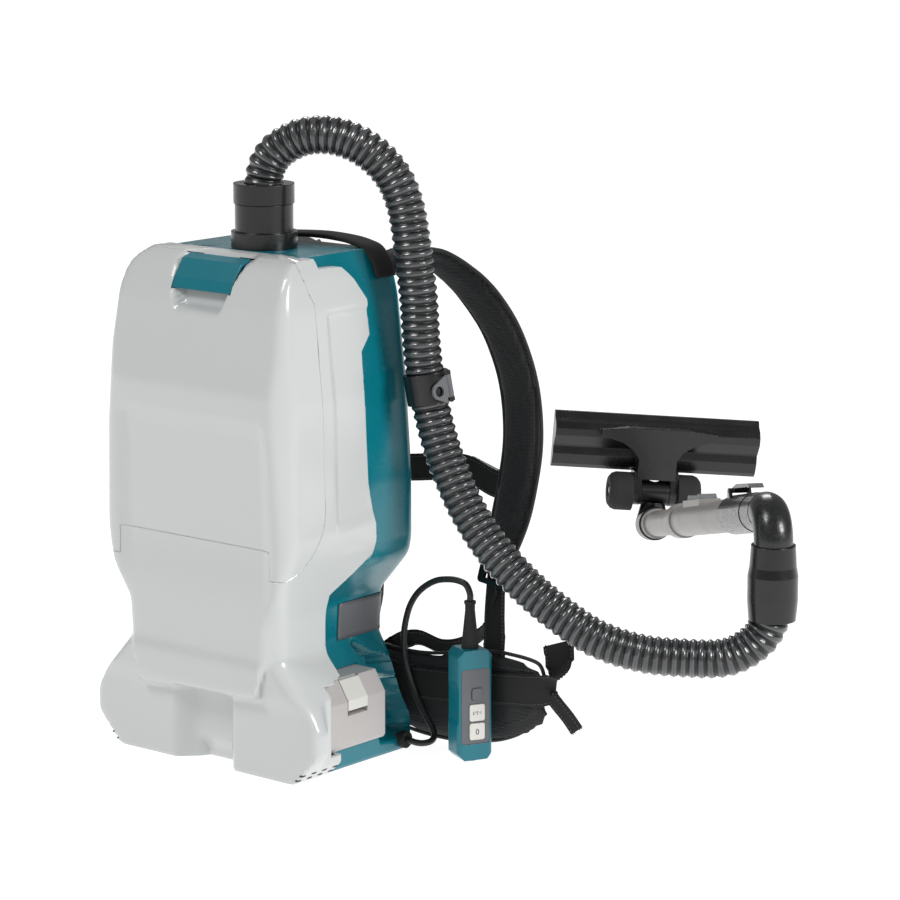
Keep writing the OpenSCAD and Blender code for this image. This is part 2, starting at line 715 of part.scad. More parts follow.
module rubber_feet() color(black_c) for (p = pad_spots) translate([p.x, p.y, 0])
    cylinder(r = pad_r, h = pad_t0, $fn = 48);

module housing_screws() color(steel_c) both_sides() for (p = post_spots) {
    rod_y(screw_head_r, rear_y - screw_head_t - 1, rear_y - 1, p.x, p.y);
    rod_y(screw_r, rear_y - 1 - screw_head_t - screw_l - 16, rear_y - screw_head_t, p.x, p.y);
}

// --- inlet, coupling, hose ---
ring_h = 14;
cylinder_h = 24;
coupling_h = 17;
sleeve_t = 1.5;
sleeve_r = hose_r + clear + sleeve_t;
ledge_z = body_h + ring_h + 7;            // the hose stands on this ledge
inlet_top = body_h + ring_h + cylinder_h;

module inlet_collar() color(black_c) translate([0, inlet_y, 0]) difference() {
    union() {
        translate([0, 0, body_h]) cylinder(r = inlet_ring_r, h = ring_h, $fn = 96);
        translate([0, 0, body_h + ring_h]) cylinder(r = inlet_r, h = cylinder_h - clear, $fn = 96);
        translate([0, 0, spigot_z]) cylinder(r = spigot_r, h = 50, $fn = 72);
    }
    translate([0, 0, spigot_z - cut]) cylinder(r = spigot_r - wall, h = big, $fn = 72);
    translate([0, 0, ledge_z - 3]) cylinder(r = sleeve_r + fit, h = big, $fn = 72);
}

module hose_coupling() color(black_c) translate([0, inlet_y, 0]) difference() {
    union() {
        translate([0, 0, inlet_top]) cylinder(r = coupling_r, h = coupling_h, $fn = 96);
        translate([0, 0, ledge_z - 3 + clear]) cylinder(r = sleeve_r, h = 20, $fn = 72);
    }
    translate([0, 0, ledge_z]) cylinder(r = hose_r + clear, h = big, $fn = 72);
    translate([0, 0, ledge_z - 4]) cylinder(r = hose_bore_r, h = big, $fn = 72);
}

// The way of the hose, from the ledge over an arch and down to the cuff
cuff_x = 410;
cuff_y = 181;
hose_route = [
    [0, inlet_y, ledge_z], [0, inlet_y, ledge_z + 17], [0, inlet_y, ledge_z + 35], [3, 7, 510],
    [10, 10, 521], [20, 15, 529], [32, 21, 535], [46, 28, 537], [61, 36, 535],
    [77, 44, 528], [92, 51, 516], [104, 57, 499], [112, 60, 478], [117, 61, 454],
    [120, 62, 431], [123, 64, 399], [125, 65, 365], [127, 67, 338], [132, 69, 309],
    [141, 70, 279], [154, 70, 251], [171, 71, 222], [193, 74, 194], [221, 80, 167],
    [252, 89, 143], [286, 102, 122], [321, 120, 111], [354, 142, 108], [376, 156, 109],
    [390, 166, 115], [402, 175, 127], [408.5, 179.7, 142], [cuff_x, cuff_y, 158],
    [cuff_x, cuff_y, 174], [cuff_x, cuff_y, 190]
];

// Smooth curve through points: position and direction at parameter t
function at(pts, i) = pts[max(0, min(len(pts) - 1, i))];
function curve(pts, t) =
    let (i = min(floor(t), len(pts) - 2), f = t - i,
        a = at(pts, i - 1), b = at(pts, i), c = at(pts, i + 1), d = at(pts, i + 2))
    0.5 * (2 * b + (c - a) * f + (2 * a - 5 * b + 4 * c - d) * f * f
        + (3 * b - a - 3 * c + d) * f * f * f);
function unit(v) = v / norm(v);
function heading(pts, i) =
    i == 0 ? unit(pts[1] - pts[0]) :
    i == len(pts) - 1 ? unit(pts[i] - pts[i - 1]) : unit(pts[i + 1] - pts[i - 1]);
function square_to(v, axis) = unit(v - axis * (v * axis));
function sides_of(pts, first) = [for (i = 0, n = square_to(first, heading(pts, 0));
    i < len(pts); i = i + 1, n = i < len(pts) ? square_to(n, heading(pts, i)) : n) n];
function ring_at(p, n, axis, r, sides) = let (b = cross(axis, n))
    [for (k = [0:sides - 1]) p + r * (cos(360 * k / sides) * n + sin(360 * k / sides) * b)];
// Points of a tube of the given radius at each point of a line
function tube_points(line, radii, sides, first) = let (n = sides_of(line, first))
    [for (i = [0:len(line) - 1]) each ring_at(line[i], n[i], heading(line, i), radii[i], sides)];
function quad_faces(rows, sides, base, flip) = [for (i = [0:rows - 2], k = [0:sides - 1])
    let (a = base + i * sides + k, b = base + i * sides + (k + 1) % sides, c = b + sides, d = a + sides)
    each (flip ? [[a, b, c], [a, c, d]] : [[a, c, b], [a, d, c]])];
// Line with steps of even length along the curve, by walking a fine sampling
function fine(pts, per) = [for (i = [0:(len(pts) - 1) * per]) curve(pts, i / per)];
function lengths(line) = [for (i = 0, s = 0; i < len(line); i = i + 1,
    s = i < len(line) ? s + norm(line[i] - line[i - 1]) : s) s];
function even(line, n) = let (s = lengths(line), total = s[len(s) - 1])
    [for (k = 0, j = 0; k <= n; k = k + 1, j = k <= n ? forward(s, j, total * k / n) : j)
        let (a = line[j], b = line[min(j + 1, len(line) - 1)],
            w = max(0.000001, s[min(j + 1, len(line) - 1)] - s[j]))
        a + (b - a) * min(1, max(0, (total * k / n - s[j]) / w))];
function forward(s, j, goal) = j < len(s) - 2 && s[j + 1] < goal ? forward(s, j + 1, goal) : j;

module solid_tube(line, r, sides) {
    n = len(line);
    polyhedron(
        points = tube_points(line, [for (i = [0:n - 1]) r], sides, [1, 0.2, 0.1]),
        faces = concat(quad_faces(n, sides, 0, false),
            [[for (k = [0:sides - 1]) k]],
            [[for (k = [sides - 1:-1:0]) (n - 1) * sides + k]]), convexity = 10);
}

hose_sides = 8;
bore_steps = 56;
module hose() color(smoke_c) {
    path = fine(hose_route, 8);
    outer = even(path, 2 * rib_count);
    inner = even(path, bore_steps);
    n = len(outer);
    m = len(inner);
    s = hose_sides;
    radii = [for (i = [0:n - 1]) hose_r - ((i % 2 == 0) ? rib_depth : 0)];
    first = [1, 0.2, 0.1];
    polyhedron(
        points = concat(tube_points(outer, radii, s, first),
            tube_points(inner, [for (i = [0:m - 1]) hose_bore_r], s, first)),
        faces = concat(quad_faces(n, s, 0, false), quad_faces(m, s, n * s, true),
            end_faces(0, n * s, s, true), end_faces((n - 1) * s, n * s + (m - 1) * s, s, false)),
        convexity = 12);
}
function end_faces(a, b, s, flip) = [for (k = [0:s - 1]) let (q = (k + 1) % s)
    each (flip ? [[a + k, a + q, b + q], [a + k, b + q, b + k]]
        : [[a + k, b + q, a + q], [a + k, b + k, b + q]])];

// --- hose band with its hanging plate ---
band_at = [129.3, 68, 324];
band_tilt = -10;
band_turn = 25;
bar_turn = -18;
band_half = 13;
band_r = hose_r + 0.6;
band_t = 2;
bar_x = band_r + band_t + 3.1;
bar_r = 1.6;
eye_r = 4.5;
plate_t = 2.2;
plate_rest = -18;                 // the plate lies back against the band
eye_y = -12;
eye_z = -3;

module band_place() translate(band_at) rotate([0, band_tilt, band_turn]) rotate([0, 0, bar_turn]) children();

module hose_band() color(black_c) band_place() {
    difference() {
        union() {
            translate([0, 0, -band_half]) cylinder(r = band_r + band_t, h = 2 * band_half, $fn = 72);
            for (z = [-band_half, band_half - 3]) translate([band_r, -3, z]) cube([bar_x - band_r, 6, 3]);
            for (z = [-band_half, band_half - 3]) translate([bar_x, 0, z]) cylinder(r = 3, h = 3, $fn = 32);
        }
        translate([0, 0, -band_half - cut]) cylinder(r = band_r, h = 2 * band_half + 2 * cut, $fn = 72);
        translate([bar_x, 0, -band_half - cut]) cylinder(r = bar_r, h = 2 * band_half + 2 * cut, $fn = 32);
    }
    translate([bar_x, 0, -band_half - 1]) cylinder(r = bar_r, h = 2 * band_half + 2, $fn = 32);
}

module plate_place() band_place() translate([bar_x, 0, 0]) rotate([0, 0, plate_rest]) children();
module band_plate() color(grey_c) plate_place() difference() {
    union() {
        translate([0, 0, clear + 3 - band_half])
            cylinder(r = 2.8, h = 2 * (band_half - 3 - clear), $fn = 32);
        translate([-plate_t / 2, 0, 0]) rotate([90, 0, 90]) linear_extrude(plate_t) hull() {
            translate([-1.5, 9]) circle(r = 1, $fn = 24);
            translate([-1.5, -15]) circle(r = 1, $fn = 24);
            translate([eye_y, eye_z]) circle(r = eye_r + 2.6, $fn = 48);
        }
    }
    translate([0, 0, -band_half - 2]) cylinder(r = bar_r + fit, h = 2 * band_half + 4, $fn = 32);
    // Room for the band's knuckles
    for (z = [-band_half, band_half]) translate([0, 0, z - 3 - clear])
        cylinder(r = 4.6, h = 2 * (3 + clear), $fn = 32);
    translate([-5, eye_y, eye_z]) rotate([0, 90, 0]) cylinder(r = eye_r, h = 10, $fn = 48);
}

// --- cuff, handle, wand: the wand's frame has X along the wand ---
bend_z = 236;
wand_pitch = 13.4;
wand_azimuth = 137;
hose_end_z = 190;
cuff_z0 = 143;
cuff_z1 = 207;
stub_z = hose_end_z + 2.8;
bend_angle = 90 + wand_pitch;
tangent_l = handle_bend_r * tan(bend_angle / 2);
socket_x0 = 62;
socket_x1 = 150;
wand_x0 = 72;
wand_x1 = wand_x0 + wand_outer_l;
inner_x0 = wand_x0 + 18;
handle_bore_r = handle_r - handle_wall;
socket_r = wand_r + clear + 2;

module wand_place() translate([cuff_x, cuff_y, bend_z]) rotate([0, wand_pitch, wand_azimuth]) children();
module along(r, x0, x1, fn = 72) translate([x0, 0, 0]) rotate([0, 90, 0])
    cylinder(r = r, h = x1 - x0, $fn = fn);

module hose_cuff() color(black_c) translate([cuff_x, cuff_y, 0]) rotate_extrude($fn = 72) polygon([
    [hose_r + 2, cuff_z0], [cuff_r - 1.4, cuff_z0], [cuff_r - 0.6, 152], [cuff_r, 160],
    [cuff_r, 181], [cuff_r - 1.4, 189], [handle_r + 2.2, cuff_z1], [handle_r + fit, cuff_z1],
    [handle_r + fit, stub_z - clear], [hose_bore_r, stub_z - clear], [hose_bore_r, hose_end_z],
    [hose_r + clear, hose_end_z], [hose_r + clear, 158]]);

// The handle's bend, from the upright pipe to the wand's direction
module handle_bend() translate([cuff_x, cuff_y, bend_z]) rotate([0, 0, wand_azimuth])
    translate([handle_bend_r, 0, -tangent_l]) rotate([90, 0, 180])
        rotate_extrude(angle = bend_angle, $fn = 72) translate([handle_bend_r, 0]) difference() {
            circle(r = handle_r, $fn = 72);
            circle(r = handle_bore_r, $fn = 72);
        }

lever_x = 134;                    // lock lever's pivot
lever_z = 20.2;
lever_w = 13;
lever_pin_r = 1.5;
module handle_pipe() color(smoke_c) {
    translate([cuff_x, cuff_y, stub_z]) ring(handle_r, handle_bore_r, bend_z - stub_z - tangent_l);
    handle_bend();
    wand_place() {
        // The straight pipe grips the bend's end with a slightly thicker wall
        translate([tangent_l - 0.6, 0, 0]) rotate([0, 90, 0])
            ring(handle_r + 0.3, handle_bore_r - 0.3, socket_x0 - tangent_l + 0.6);
        difference() {
            union() {
                along(socket_r, socket_x0, socket_x1);
                for (s = [-1, 1]) translate([lever_x, s * (lever_w / 2 + 2) - 1.5 , 0]) hull() {
                    translate([0, 0, lever_z]) rotate([-90, 0, 0]) cylinder(r = 3, h = 3, $fn = 32);
                    translate([-5, 0, 12]) cube([10, 3, 1]);
                }
            }
            along(handle_bore_r, socket_x0 - cut, wand_x0 + cut);
            along(wand_r + fit, wand_x0, socket_x1 + cut);
            translate([lever_x, -lever_w, lever_z]) rotate([-90, 0, 0])
                cylinder(r = lever_pin_r + fit, h = 2 * lever_w, $fn = 32);
        }
    }
}

module lock_lever() color(smoke_c) wand_place() difference() {
    union() {
        translate([0, lever_w / 2, 0]) rotate([90, 0, 0]) linear_extrude(lever_w) polygon([
            [socket_x0 + 2, lever_z + 1.6], [socket_x0 + 8, lever_z + 5], [lever_x - 18, lever_z + 6],
            [lever_x + 3, lever_z + 2.4], [lever_x + 3, lever_z - 1.4], [lever_x - 6, lever_z - 1.4],
            [lever_x - 14, lever_z + 2.4], [socket_x0 + 12, lever_z + 2], [socket_x0 + 4, lever_z + 1]]);
        translate([lever_x, -lever_w / 2 - 3, lever_z]) rotate([-90, 0, 0])
            cylinder(r = lever_pin_r, h = lever_w + 6, $fn = 32);
    }
    translate([socket_x0 + 16, -lever_w / 2 + 3, 0]) cube([lever_x - socket_x0 - 38, lever_w - 6, 60]);
}

saddle_x0 = 262;
saddle_z = 17.6;
saddle_w = 20;
button_gap = 8;                   // travel room of the lock button
wand_bore_r = wand_r - wand_wall;
guide_l = 10;

module wand_outer() color(wand_c) wand_place() difference() {
    union() {
        along(wand_r, wand_x0, wand_x1);
        along(wand_r + 1.6, wand_x1 - 26, wand_x1);
        intersection() {
            translate([saddle_x0, -saddle_w / 2, 8])
                cube([lock_button_l + button_gap + 8, saddle_w, saddle_z - 8]);
            along(saddle_z + 4, saddle_x0 - 1, wand_x1);
        }
    }
    along(wand_bore_r, wand_x0 - 1, wand_x1 - guide_l);
    along(wand_inner_r + fit, wand_x1 - guide_l - 1, wand_x1 + 1);
    translate([saddle_x0 + 4, -3, wand_r + 0.5]) cube([lock_button_l + button_gap, 6, 10]);
}

module wand_lock_button() color(grey_c) wand_place() {
    translate([saddle_x0 + 4.2, 0, 0]) {
        translate([0, 8, 0]) rotate([90, 0, 0]) linear_extrude(16) polygon([
            [0, saddle_z + clear], [lock_button_l, saddle_z + clear], [lock_button_l - 4, saddle_z + 4.6],
            [lock_button_l * 0.6, saddle_z + 3.4], [lock_button_l * 0.35, saddle_z + 3.4],
                [6, saddle_z + 4.6]]);
        translate([0, -2.8, wand_r + 0.7]) cube([lock_button_l, 5.6, saddle_z + clear - wand_r - 0.6]);
    }
}

inner_end = wand_reach + 10;
module wand_inner() color(wand_c) wand_place() difference() {
    union() {
        along(wand_inner_r, inner_x0, inner_end);
        along(wand_bore_r - fit, inner_x0, inner_x0 + 12);
        along(wand_inner_r + 2, wand_reach - 14, wand_reach - 3);
    }
    along(wand_inner_r - wand_wall, inner_x0 - 1, inner_end + 1);
}

// --- nozzle: frame at the axle, X away from the handle, Z to the nozzle's front ---
axle_x = wand_reach + 16;
axle_z = 31.5;
nozzle_roll = 4.6;
nozzle_tilt = -13.4;
neck_r = 16;
barrel_r = 12.5;
barrel_w = 28;
cheek_w = wheel_track / 2 - clear - barrel_w / 2 - clear;
cheek_y = barrel_w / 2 + clear + cheek_w / 2;
sole_x = wheel_r - 1;             // face of the nozzle that meets the floor
body_z0 = 18.5;
body_z1 = body_z0 + nozzle_d;

elbow_x1 = inner_end + 2.4;       // where the swivel sleeve meets the neck
swivel_r = wand_inner_r + 3.6;
module neck_place() wand_place() rotate([nozzle_roll, 0, 0]) children();
module nozzle_place() neck_place() translate([axle_x, 0, axle_z]) rotate([0, nozzle_tilt, 0]) children();
module rod_across(r, y0, y1, fn = 72) translate([0, y0, 0]) rotate([-90, 0, 0])
    cylinder(r = r, h = y1 - y0, $fn = fn);

module nozzle_elbow() color(black_c) neck_place() difference() {
    along(swivel_r, wand_reach - 3 + clear, elbow_x1);
    along(wand_inner_r + fit, wand_reach - 4, inner_end + clear);
    along(wand_inner_r - wand_wall, wand_reach, inner_end + 4);
}

module nozzle_neck() color(black_c) neck_place() difference() {
    union() {
        along(neck_r, elbow_x1, inner_end + 6);
        hull() {
            along(neck_r, inner_end + 5, inner_end + 9, 32);
            translate([axle_x, 0, axle_z - 12]) cylinder(r = 12, h = 1, $fn = 32);
        }
        translate([axle_x, 0, axle_z]) rod_across(barrel_r, -barrel_w / 2, barrel_w / 2);
    }
    along(swivel_r + clear, wand_reach - 6, elbow_x1);
    along(wand_inner_r - wand_wall, inner_end, inner_end + 7);
    translate([axle_x, 0, axle_z]) rod_across(axle_r + fit, -barrel_w, barrel_w, 48);
    translate([axle_x, 0, 4]) cylinder(r = 7, h = axle_z + 20, $fn = 48);
}

module nozzle_axle() color(steel_c) nozzle_place()
    rod_across(axle_r, -wheel_track / 2 - wheel_w + 1, wheel_track / 2 + wheel_w - 1, 48);

module wheel(side) color(black_c) nozzle_place() scale([1, side, 1])
    translate([0, wheel_track / 2, 0]) rotate([-90, 0, 0]) rotate_extrude($fn = 72) polygon([
        [axle_r + fit, 0], [wheel_r, 0], [wheel_r, wheel_w - 7], [wheel_r - 1.5, wheel_w - 3],
        [wheel_r - 5, wheel_w], [7, wheel_w], [6, wheel_w - 1.5], [axle_r + fit, wheel_w - 1.5]]);
module wheel_right() wheel(-1);
module wheel_left() wheel(1);

module nozzle_body() color(black_c) nozzle_place() difference() {
    union() {
        translate([0, nozzle_w / 2, 0]) rotate([90, 0, 0]) linear_extrude(nozzle_w) polygon([
            [sole_x, body_z0], [sole_x, body_z1], [sole_x - 5, body_z1], [sole_x - 8, body_z1 - 5],
            [sole_x - 15, body_z1 - 9], [sole_x - 19, body_z1 - 15], [sole_x - 19, body_z1 - 22],
            [sole_x - 14, body_z1 - 29], [sole_x - 10, body_z1 - 34], [sole_x - 11, body_z1 - 42],
            [sole_x - 8, body_z0 + 4], [sole_x - 4, body_z0]]);
        translate([sole_x - 6, 0, 0]) rotate([90, 0, -90]) linear_extrude(nozzle_h - 6) polygon([
            [-19, 14], [19, 14], [19, 34], [24, 42], [36, 50], [58, 56], [58, 62], [30, 65],
            [-30, 65], [-58, 62], [-58, 56], [-36, 50], [-24, 42], [-19, 34]]);
        for (y = [-cheek_y - cheek_w / 2, cheek_y - cheek_w / 2]) hull() {
            rod_across(13, y, y + cheek_w, 32);
            translate([-8, y, 20]) cube([18, cheek_w, 2]);
        }
    }
    // End bevels of the lower edge
    for (s = [-1, 1]) translate([0, s * nozzle_w / 2, body_z0]) rotate([s * 25, 0, 0])
        translate([-big / 2, -40, -40]) cube([big, 80, 40]);
    // Air channel, open at the sole
    translate([sole_x - 8, -nozzle_w / 2 + 4, body_z0 + 6]) cube([20, nozzle_w - 8, nozzle_d - 13]);
    translate([sole_x - 20, -16, body_z0 + 20]) cube([20, 32, 24]);
    cylinder(r = 7, h = body_z0 + 22, $fn = 48);
    rod_across(barrel_r + 0.6, -barrel_w / 2 - clear, barrel_w / 2 + clear);
    rod_across(axle_r + fit, -big, big, 48);
}

mouth_z0 = body_z0 + 22;
mouth_h = 14;
module nozzle_sole() color(dark_c) nozzle_place() difference() {
    translate([sole_x, -nozzle_w / 2 + 3, body_z0 + 4]) cube([2.2, nozzle_w - 6, nozzle_d - 5]);
    translate([sole_x - cut, -nozzle_w / 2 + 14, mouth_z0]) cube([5, nozzle_w - 28, mouth_h]);
}

// --- harness: soft bands swept along a line ---
// One ring of a soft band: u across its width, v through its thickness
function soft_ring(p, u, v, w, t, sides) = [for (k = [0:sides - 1])
    let (c = cos(360 * (k + 0.5) / sides), s = sin(360 * (k + 0.5) / sides))
    p + u * (w / 2 * sign(c) * pow(abs(c), 0.55)) + v * (t / 2 * sign(s) * pow(abs(s), 0.8))];

// Each station is [point, width, thickness]; across is the width's direction
module soft_band(stations, across, sides = 12) {
    line = [for (s = stations) s[0]];
    n = len(line);
    polyhedron(
        points = [for (i = [0:n - 1])
            let (axis = heading(line, i), u = square_to(is_list(across[0]) ? across[i] : across, axis))
            each soft_ring(line[i], u, cross(axis, u), stations[i][1], stations[i][2], sides)],
        faces = concat(quad_faces(n, sides, 0, false),
            [[for (k = [0:sides - 1]) k]],
            [[for (k = [sides - 1:-1:0]) (n - 1) * sides + k]]), convexity = 10);
}
// Stations of one width along a line, with rounded ends
function strip(line, w, t, ends = 0.8) = let (n = len(line) - 1)
    [for (i = [0:n]) [line[i], i == 0 || i == n ? w * ends : w, i == 0 || i == n ? t * ends : t]];
// The same with a cushion's swell: thinner towards both ends
function cushion(line, w, t) = let (n = len(line) - 1)
    [for (i = [0:n]) let (f = i / n, edge = min(1, min(f, 1 - f) * n / 3))
        [line[i], w * (0.72 + 0.28 * sin(90 * edge)), t * (0.45 + 0.55 * sin(90 * edge))]];

belt_y = 103;
belt_outline = [                  // X, lower edge, upper edge
    [0, 18, 84], [40, 12, 82], [70, 6, 80], [98, 3, 81], [128, 3, 86], [152, 6, 91],
    [179, 11, 95], [200, 19, 95], [214, 28, 94], [224, 39, 92], [229, 48, 88], [232, 57, 80]];
belt_ends = [1, 1, 1, 1, 1, 1, 1, 1, 0.95, 0.8, 0.6, 0.35];
module waist_belt() color(dark_c) {
    n = len(belt_outline) - 1;
    right = [for (i = [0:n]) let (p = belt_outline[i], k = belt_h / 80)
        [[p.x * belt_reach / 232, belt_y, k * (p.y + p.z) / 2], k * (p.z - p.y), belt_t * belt_ends[i]]];
    left = [for (i = [n:-1:1]) [[-right[i][0].x, belt_y, right[i][0].z], right[i][1], right[i][2]]];
    soft_band(concat(left, right), [0, 0, 1], 14);
}

pad_route = [
    [54, rear_y + 0.7, 415], [54.3, rear_y + 10, 415.3], [66, 113, 428], [86, 131, 426],
    [115, 148, 406], [142, 157, 377], [158, 162, 342], [166, 165, 305], [168, 165, 264],
    [161, 160, 223], [153, 152, 190], [149, 145, 168]];
pad_across = [0.97, -0.17, 0.1];
pad_stations = 24;
module shoulder_pad()
    soft_band(cushion(even(fine(pad_route, 6), pad_stations), pad_w, pad_t), pad_across, 12);
module shoulder_pad_right() color(dark_c) shoulder_pad();
module shoulder_pad_left() color(dark_c) mirror([1, 0, 0]) shoulder_pad();

pad_end = pad_route[len(pad_route) - 1];
pad_lead = unit(pad_end - pad_route[len(pad_route) - 2]);
belt_back_y = belt_y + belt_t / 2 + web_t / 2 + 0.05;
belt_face_y = belt_y - belt_t / 2 - web_t / 2 - 0.05;
module strap_webbing() color(black_c) both_sides() {
    // Down from the pad to the back of the belt
    soft_band(strip([pad_end + 0.35 * pad_lead, pad_end + 8 * pad_lead, [148, 140, 150], [150, 135, 130],
        [158, 124, 110], [166, 114, 96], [168, belt_back_y, 84], [169, belt_back_y, 70]],
        web_w, web_t), [for (i = [0:7]) i < 5 ? pad_across : [0.97, i == 5 ? -0.08 : 0, 0.1]], 8);
    // From the buckle to the middle of the belt
    soft_band(strip([[149, 138.4, 140], [146, 138, 124], [140, 132, 101], [124, 124, 87], [104, 119, 82],
        [80, 116, 87], [62, 114, 82], [48, belt_back_y + 0.4, 72], [38, belt_back_y, 62]],
        web_w * 0.7, web_t), [for (i = [0:8]) [0.5, i < 6 ? -0.4 : i < 7 ? -0.2 : 0, 1]], 8);
}

buckle_w = 38;
buckle_h = 24;
buckle_t = 4;
// Ladder buckle, with two slots, lying flat on its webbing
module buckle() difference() {
    rotate([90, 0, 0]) linear_extrude(buckle_t) offset(4, $fn = 32)
        square([buckle_w - 8, buckle_h - 8], center = true);
    for (z = [-7, 3]) translate([-web_w / 2, -buckle_t - cut, z]) cube([web_w, buckle_t + 2 * cut, 4]);
}
module strap_buckles() color(black_c) {
    both_sides() translate([149, 138.7, 152]) rotate([-14, 3, -10]) buckle();
    translate([100, 177 + buckle_t, 226]) rotate([0, 16, 0]) buckle();
}

module chest_strap() color(black_c) {
    half = [[152, 169.9, 226], [130, 173.4, 222], [114, 175, 222], [85, 175.8, 231], [50, 176.6, 228]];
    n = len(half) - 1;
    line = concat([for (p = half) [-p.x, p.y, p.z]], [[0, 177, 222]], [for (i = [n:-1:0]) half[i]]);
    soft_band(strip(line, web_w, web_t), [0, 0, 1], 8);
}

module belt_webbing() color(black_c) both_sides() {
    // Along the wing's face, out through its keeper and up
    soft_band(strip([[92, belt_face_y, 53], [130, belt_face_y, 56], [170, belt_face_y, 61],
        [205, belt_face_y - 0.2, 65], [224, 96.3, 67], [236, 100.3, 71], [239, 111, 81], [234, 119, 93],
        [228, 125, 104]], web_w + 4, web_t),
        [for (i = [0:8]) i < 5 ? [0, 0, 1]
            : unit([0.3 * (i - 4), 0.12 * (i - 4), 1.2 - 0.2 * (i - 4)])], 8);
    // The loose end, folded over
    soft_band(strip([[237, 102.5, 64], [243, 105, 56], [252, 107.5, 46], [260, 110, 35]],
        web_w / 2, 2 * web_t), [0.6, 0.2, 0.5], 8);
}

carry_y = 62;
carry_route = [
    [-56, carry_y, body_h + 2.6], [-44, carry_y, body_h + 2.6], [-20, carry_y, body_h + 4.6],
    [16, carry_y, body_h + 6.5], [46, carry_y, body_h + 5.4], [62, carry_y, body_h + 3],
    [74, carry_y, body_h - 0.8], [83, carry_y, body_h - 11], [88.5, carry_y, body_h - 24]];
module carry_handle() color(black_c)
    soft_band(strip(even(fine(carry_route, 6), 18), web_w, 5), [0, 1, 0], 10);

// Height, width and thickness of the back pad; it is thin where the belt crosses
back_rows = [
    [12, 70, 5], [18, 92, 9], [50, 100, 9.4], [84, 100, 9.4], [96, 106, 15], [112, 116, 18],
    [150, 124, 18], [210, 132, 18], [280, 138, 18], [340, 138, 18], [380, 132, 17], [396, 120, 13],
    [402, 104, 7]];
module back_pad() color(dark_c)
    soft_band([for (r = back_rows)
        [[0, rear_y + 0.1 + r.z * back_pad_t / 36, r.x], r.y, r.z * back_pad_t / 18]],
        [1, 0, 0], 14);

// --- remote control: X across, front towards -Y, Z up the case ---
remote_at = [172, 73.3, 53];
remote_turn = 63.5;
case_r = 5;                       // rounding of the case's upright edges
boot_r = 7.4;
boot_neck_r = 4.3;
boot_l = 41;
boot_z0 = remote_h / 2;
panel_w = 26.4;
panel_h = 66;
panel_z = -1;
panel_t = 1.2;
panel_in = 0.4;                   // depth of the panel's face under the case's
key_w = 14;
key_h = 14.6;
light_w = 9.4;
light_h = 10;
key_x = 1;
light_z = 10;
speed_z = -6.4;
stop_z = -23;
key_t = 2.6;
key_out = 1.2;                    // rise of a key over the panel
key_travel = 0.8;
key_y = -remote_d / 2 + panel_in; // the panel's face

module remote_place() translate(remote_at) rotate([0, 0, remote_turn]) children();
// Block with rounded corners, seen from the front, between two depths
module slab(w, h, y0, y1, r) translate([0, y1, 0]) rotate([90, 0, 0]) linear_extrude(y1 - y0)
    offset(r, $fn = round_fn) square([w - 2 * r, h - 2 * r], center = true);
module key_space(w, h, z, grow) translate([key_x, 0, z])
    slab(w + 2 * grow, h + 2 * grow, key_y - 10, key_y + key_t - key_out + key_travel + 0.2, 1.8 + grow);

module remote_case() color(teal_c) remote_place() difference() {
    union() {
        intersection() {
            translate([0, 0, -remote_h / 2]) linear_extrude(remote_h)
                rounded(case_r) square([remote_w, remote_d], center = true);
            rotate([90, 0, 0]) linear_extrude(2 * remote_d, center = true) polygon(mirrored([
                [0, -remote_h / 2], [remote_w / 2 - 6, -remote_h / 2], [remote_w / 2, -remote_h / 2 + 6],
                [remote_w / 2, -18], [remote_w / 2 - 1.2, -14], [remote_w / 2 - 1.2, 16],
                [remote_w / 2, 20], [remote_w / 2, remote_h / 2 - 6], [remote_w / 2 - 6, remote_h / 2],
                [0, remote_h / 2]]));
        }
        translate([0, 0, -remote_h / 2 - 2]) cylinder(r = 7, h = 4, $fn = 48);
    }
    slab(remote_w - 7, remote_h - 10, -remote_d / 2 + 5.6, remote_d / 2 - 2.5, 3);
    translate([0, 0, panel_z]) slab(panel_w + 0.4, panel_h + 0.4, -remote_d, key_y + panel_t, 3.2);
    key_space(light_w, light_h, light_z, 0.4);
    key_space(key_w, key_h, speed_z, 0.4);
    key_space(key_w, key_h, stop_z, 0.4);
    translate([0, 0, boot_z0 - 12]) cylinder(r = 5 + fit, h = 20, $fn = 48);
}

module remote_panel() color(grey_c) remote_place() difference() {
    translate([0, 0, panel_z]) slab(panel_w, panel_h, key_y, key_y + panel_t, 3);
    key_space(light_w, light_h, light_z, 0.25);
    key_space(key_w, key_h, speed_z, 0.25);
    key_space(key_w, key_h, stop_z, 0.25);
    translate([0, 0, panel_z + 4.3]) cube([panel_w - 4, 0.8, 0.9], center = true);
}

module key(w, h, z) remote_place() translate([key_x, 0, z])
    slab(w, h, key_y - key_out, key_y - key_out + key_t, 1.8);
module key_light() color(grey_c) key(light_w, light_h, light_z);
module key_speed() color(cream_c) key(key_w, key_h, speed_z);
module key_stop() color(cream_c) key(key_w, key_h, stop_z);

cord_bore_r = cord_d / 2 + 0.25;
cord_in = 4;                      // length of cord held in the gland and in the boot
module remote_boot() color(black_c) remote_place() translate([0, 0, boot_z0])
    rotate_extrude($fn = 72) polygon([
    [cord_bore_r, boot_l - cord_in - 0.15], [0, boot_l - cord_in - 0.15], [0, -8], [5, -8], [5, 0.1],
    [boot_r, 0.1], [boot_r, 2],
    [boot_neck_r, boot_l * 0.8], [boot_neck_r, boot_l - 3], [boot_neck_r + 0.8, boot_l - 2.4],
    [boot_neck_r + 0.8, boot_l], [cord_bore_r, boot_l]]);

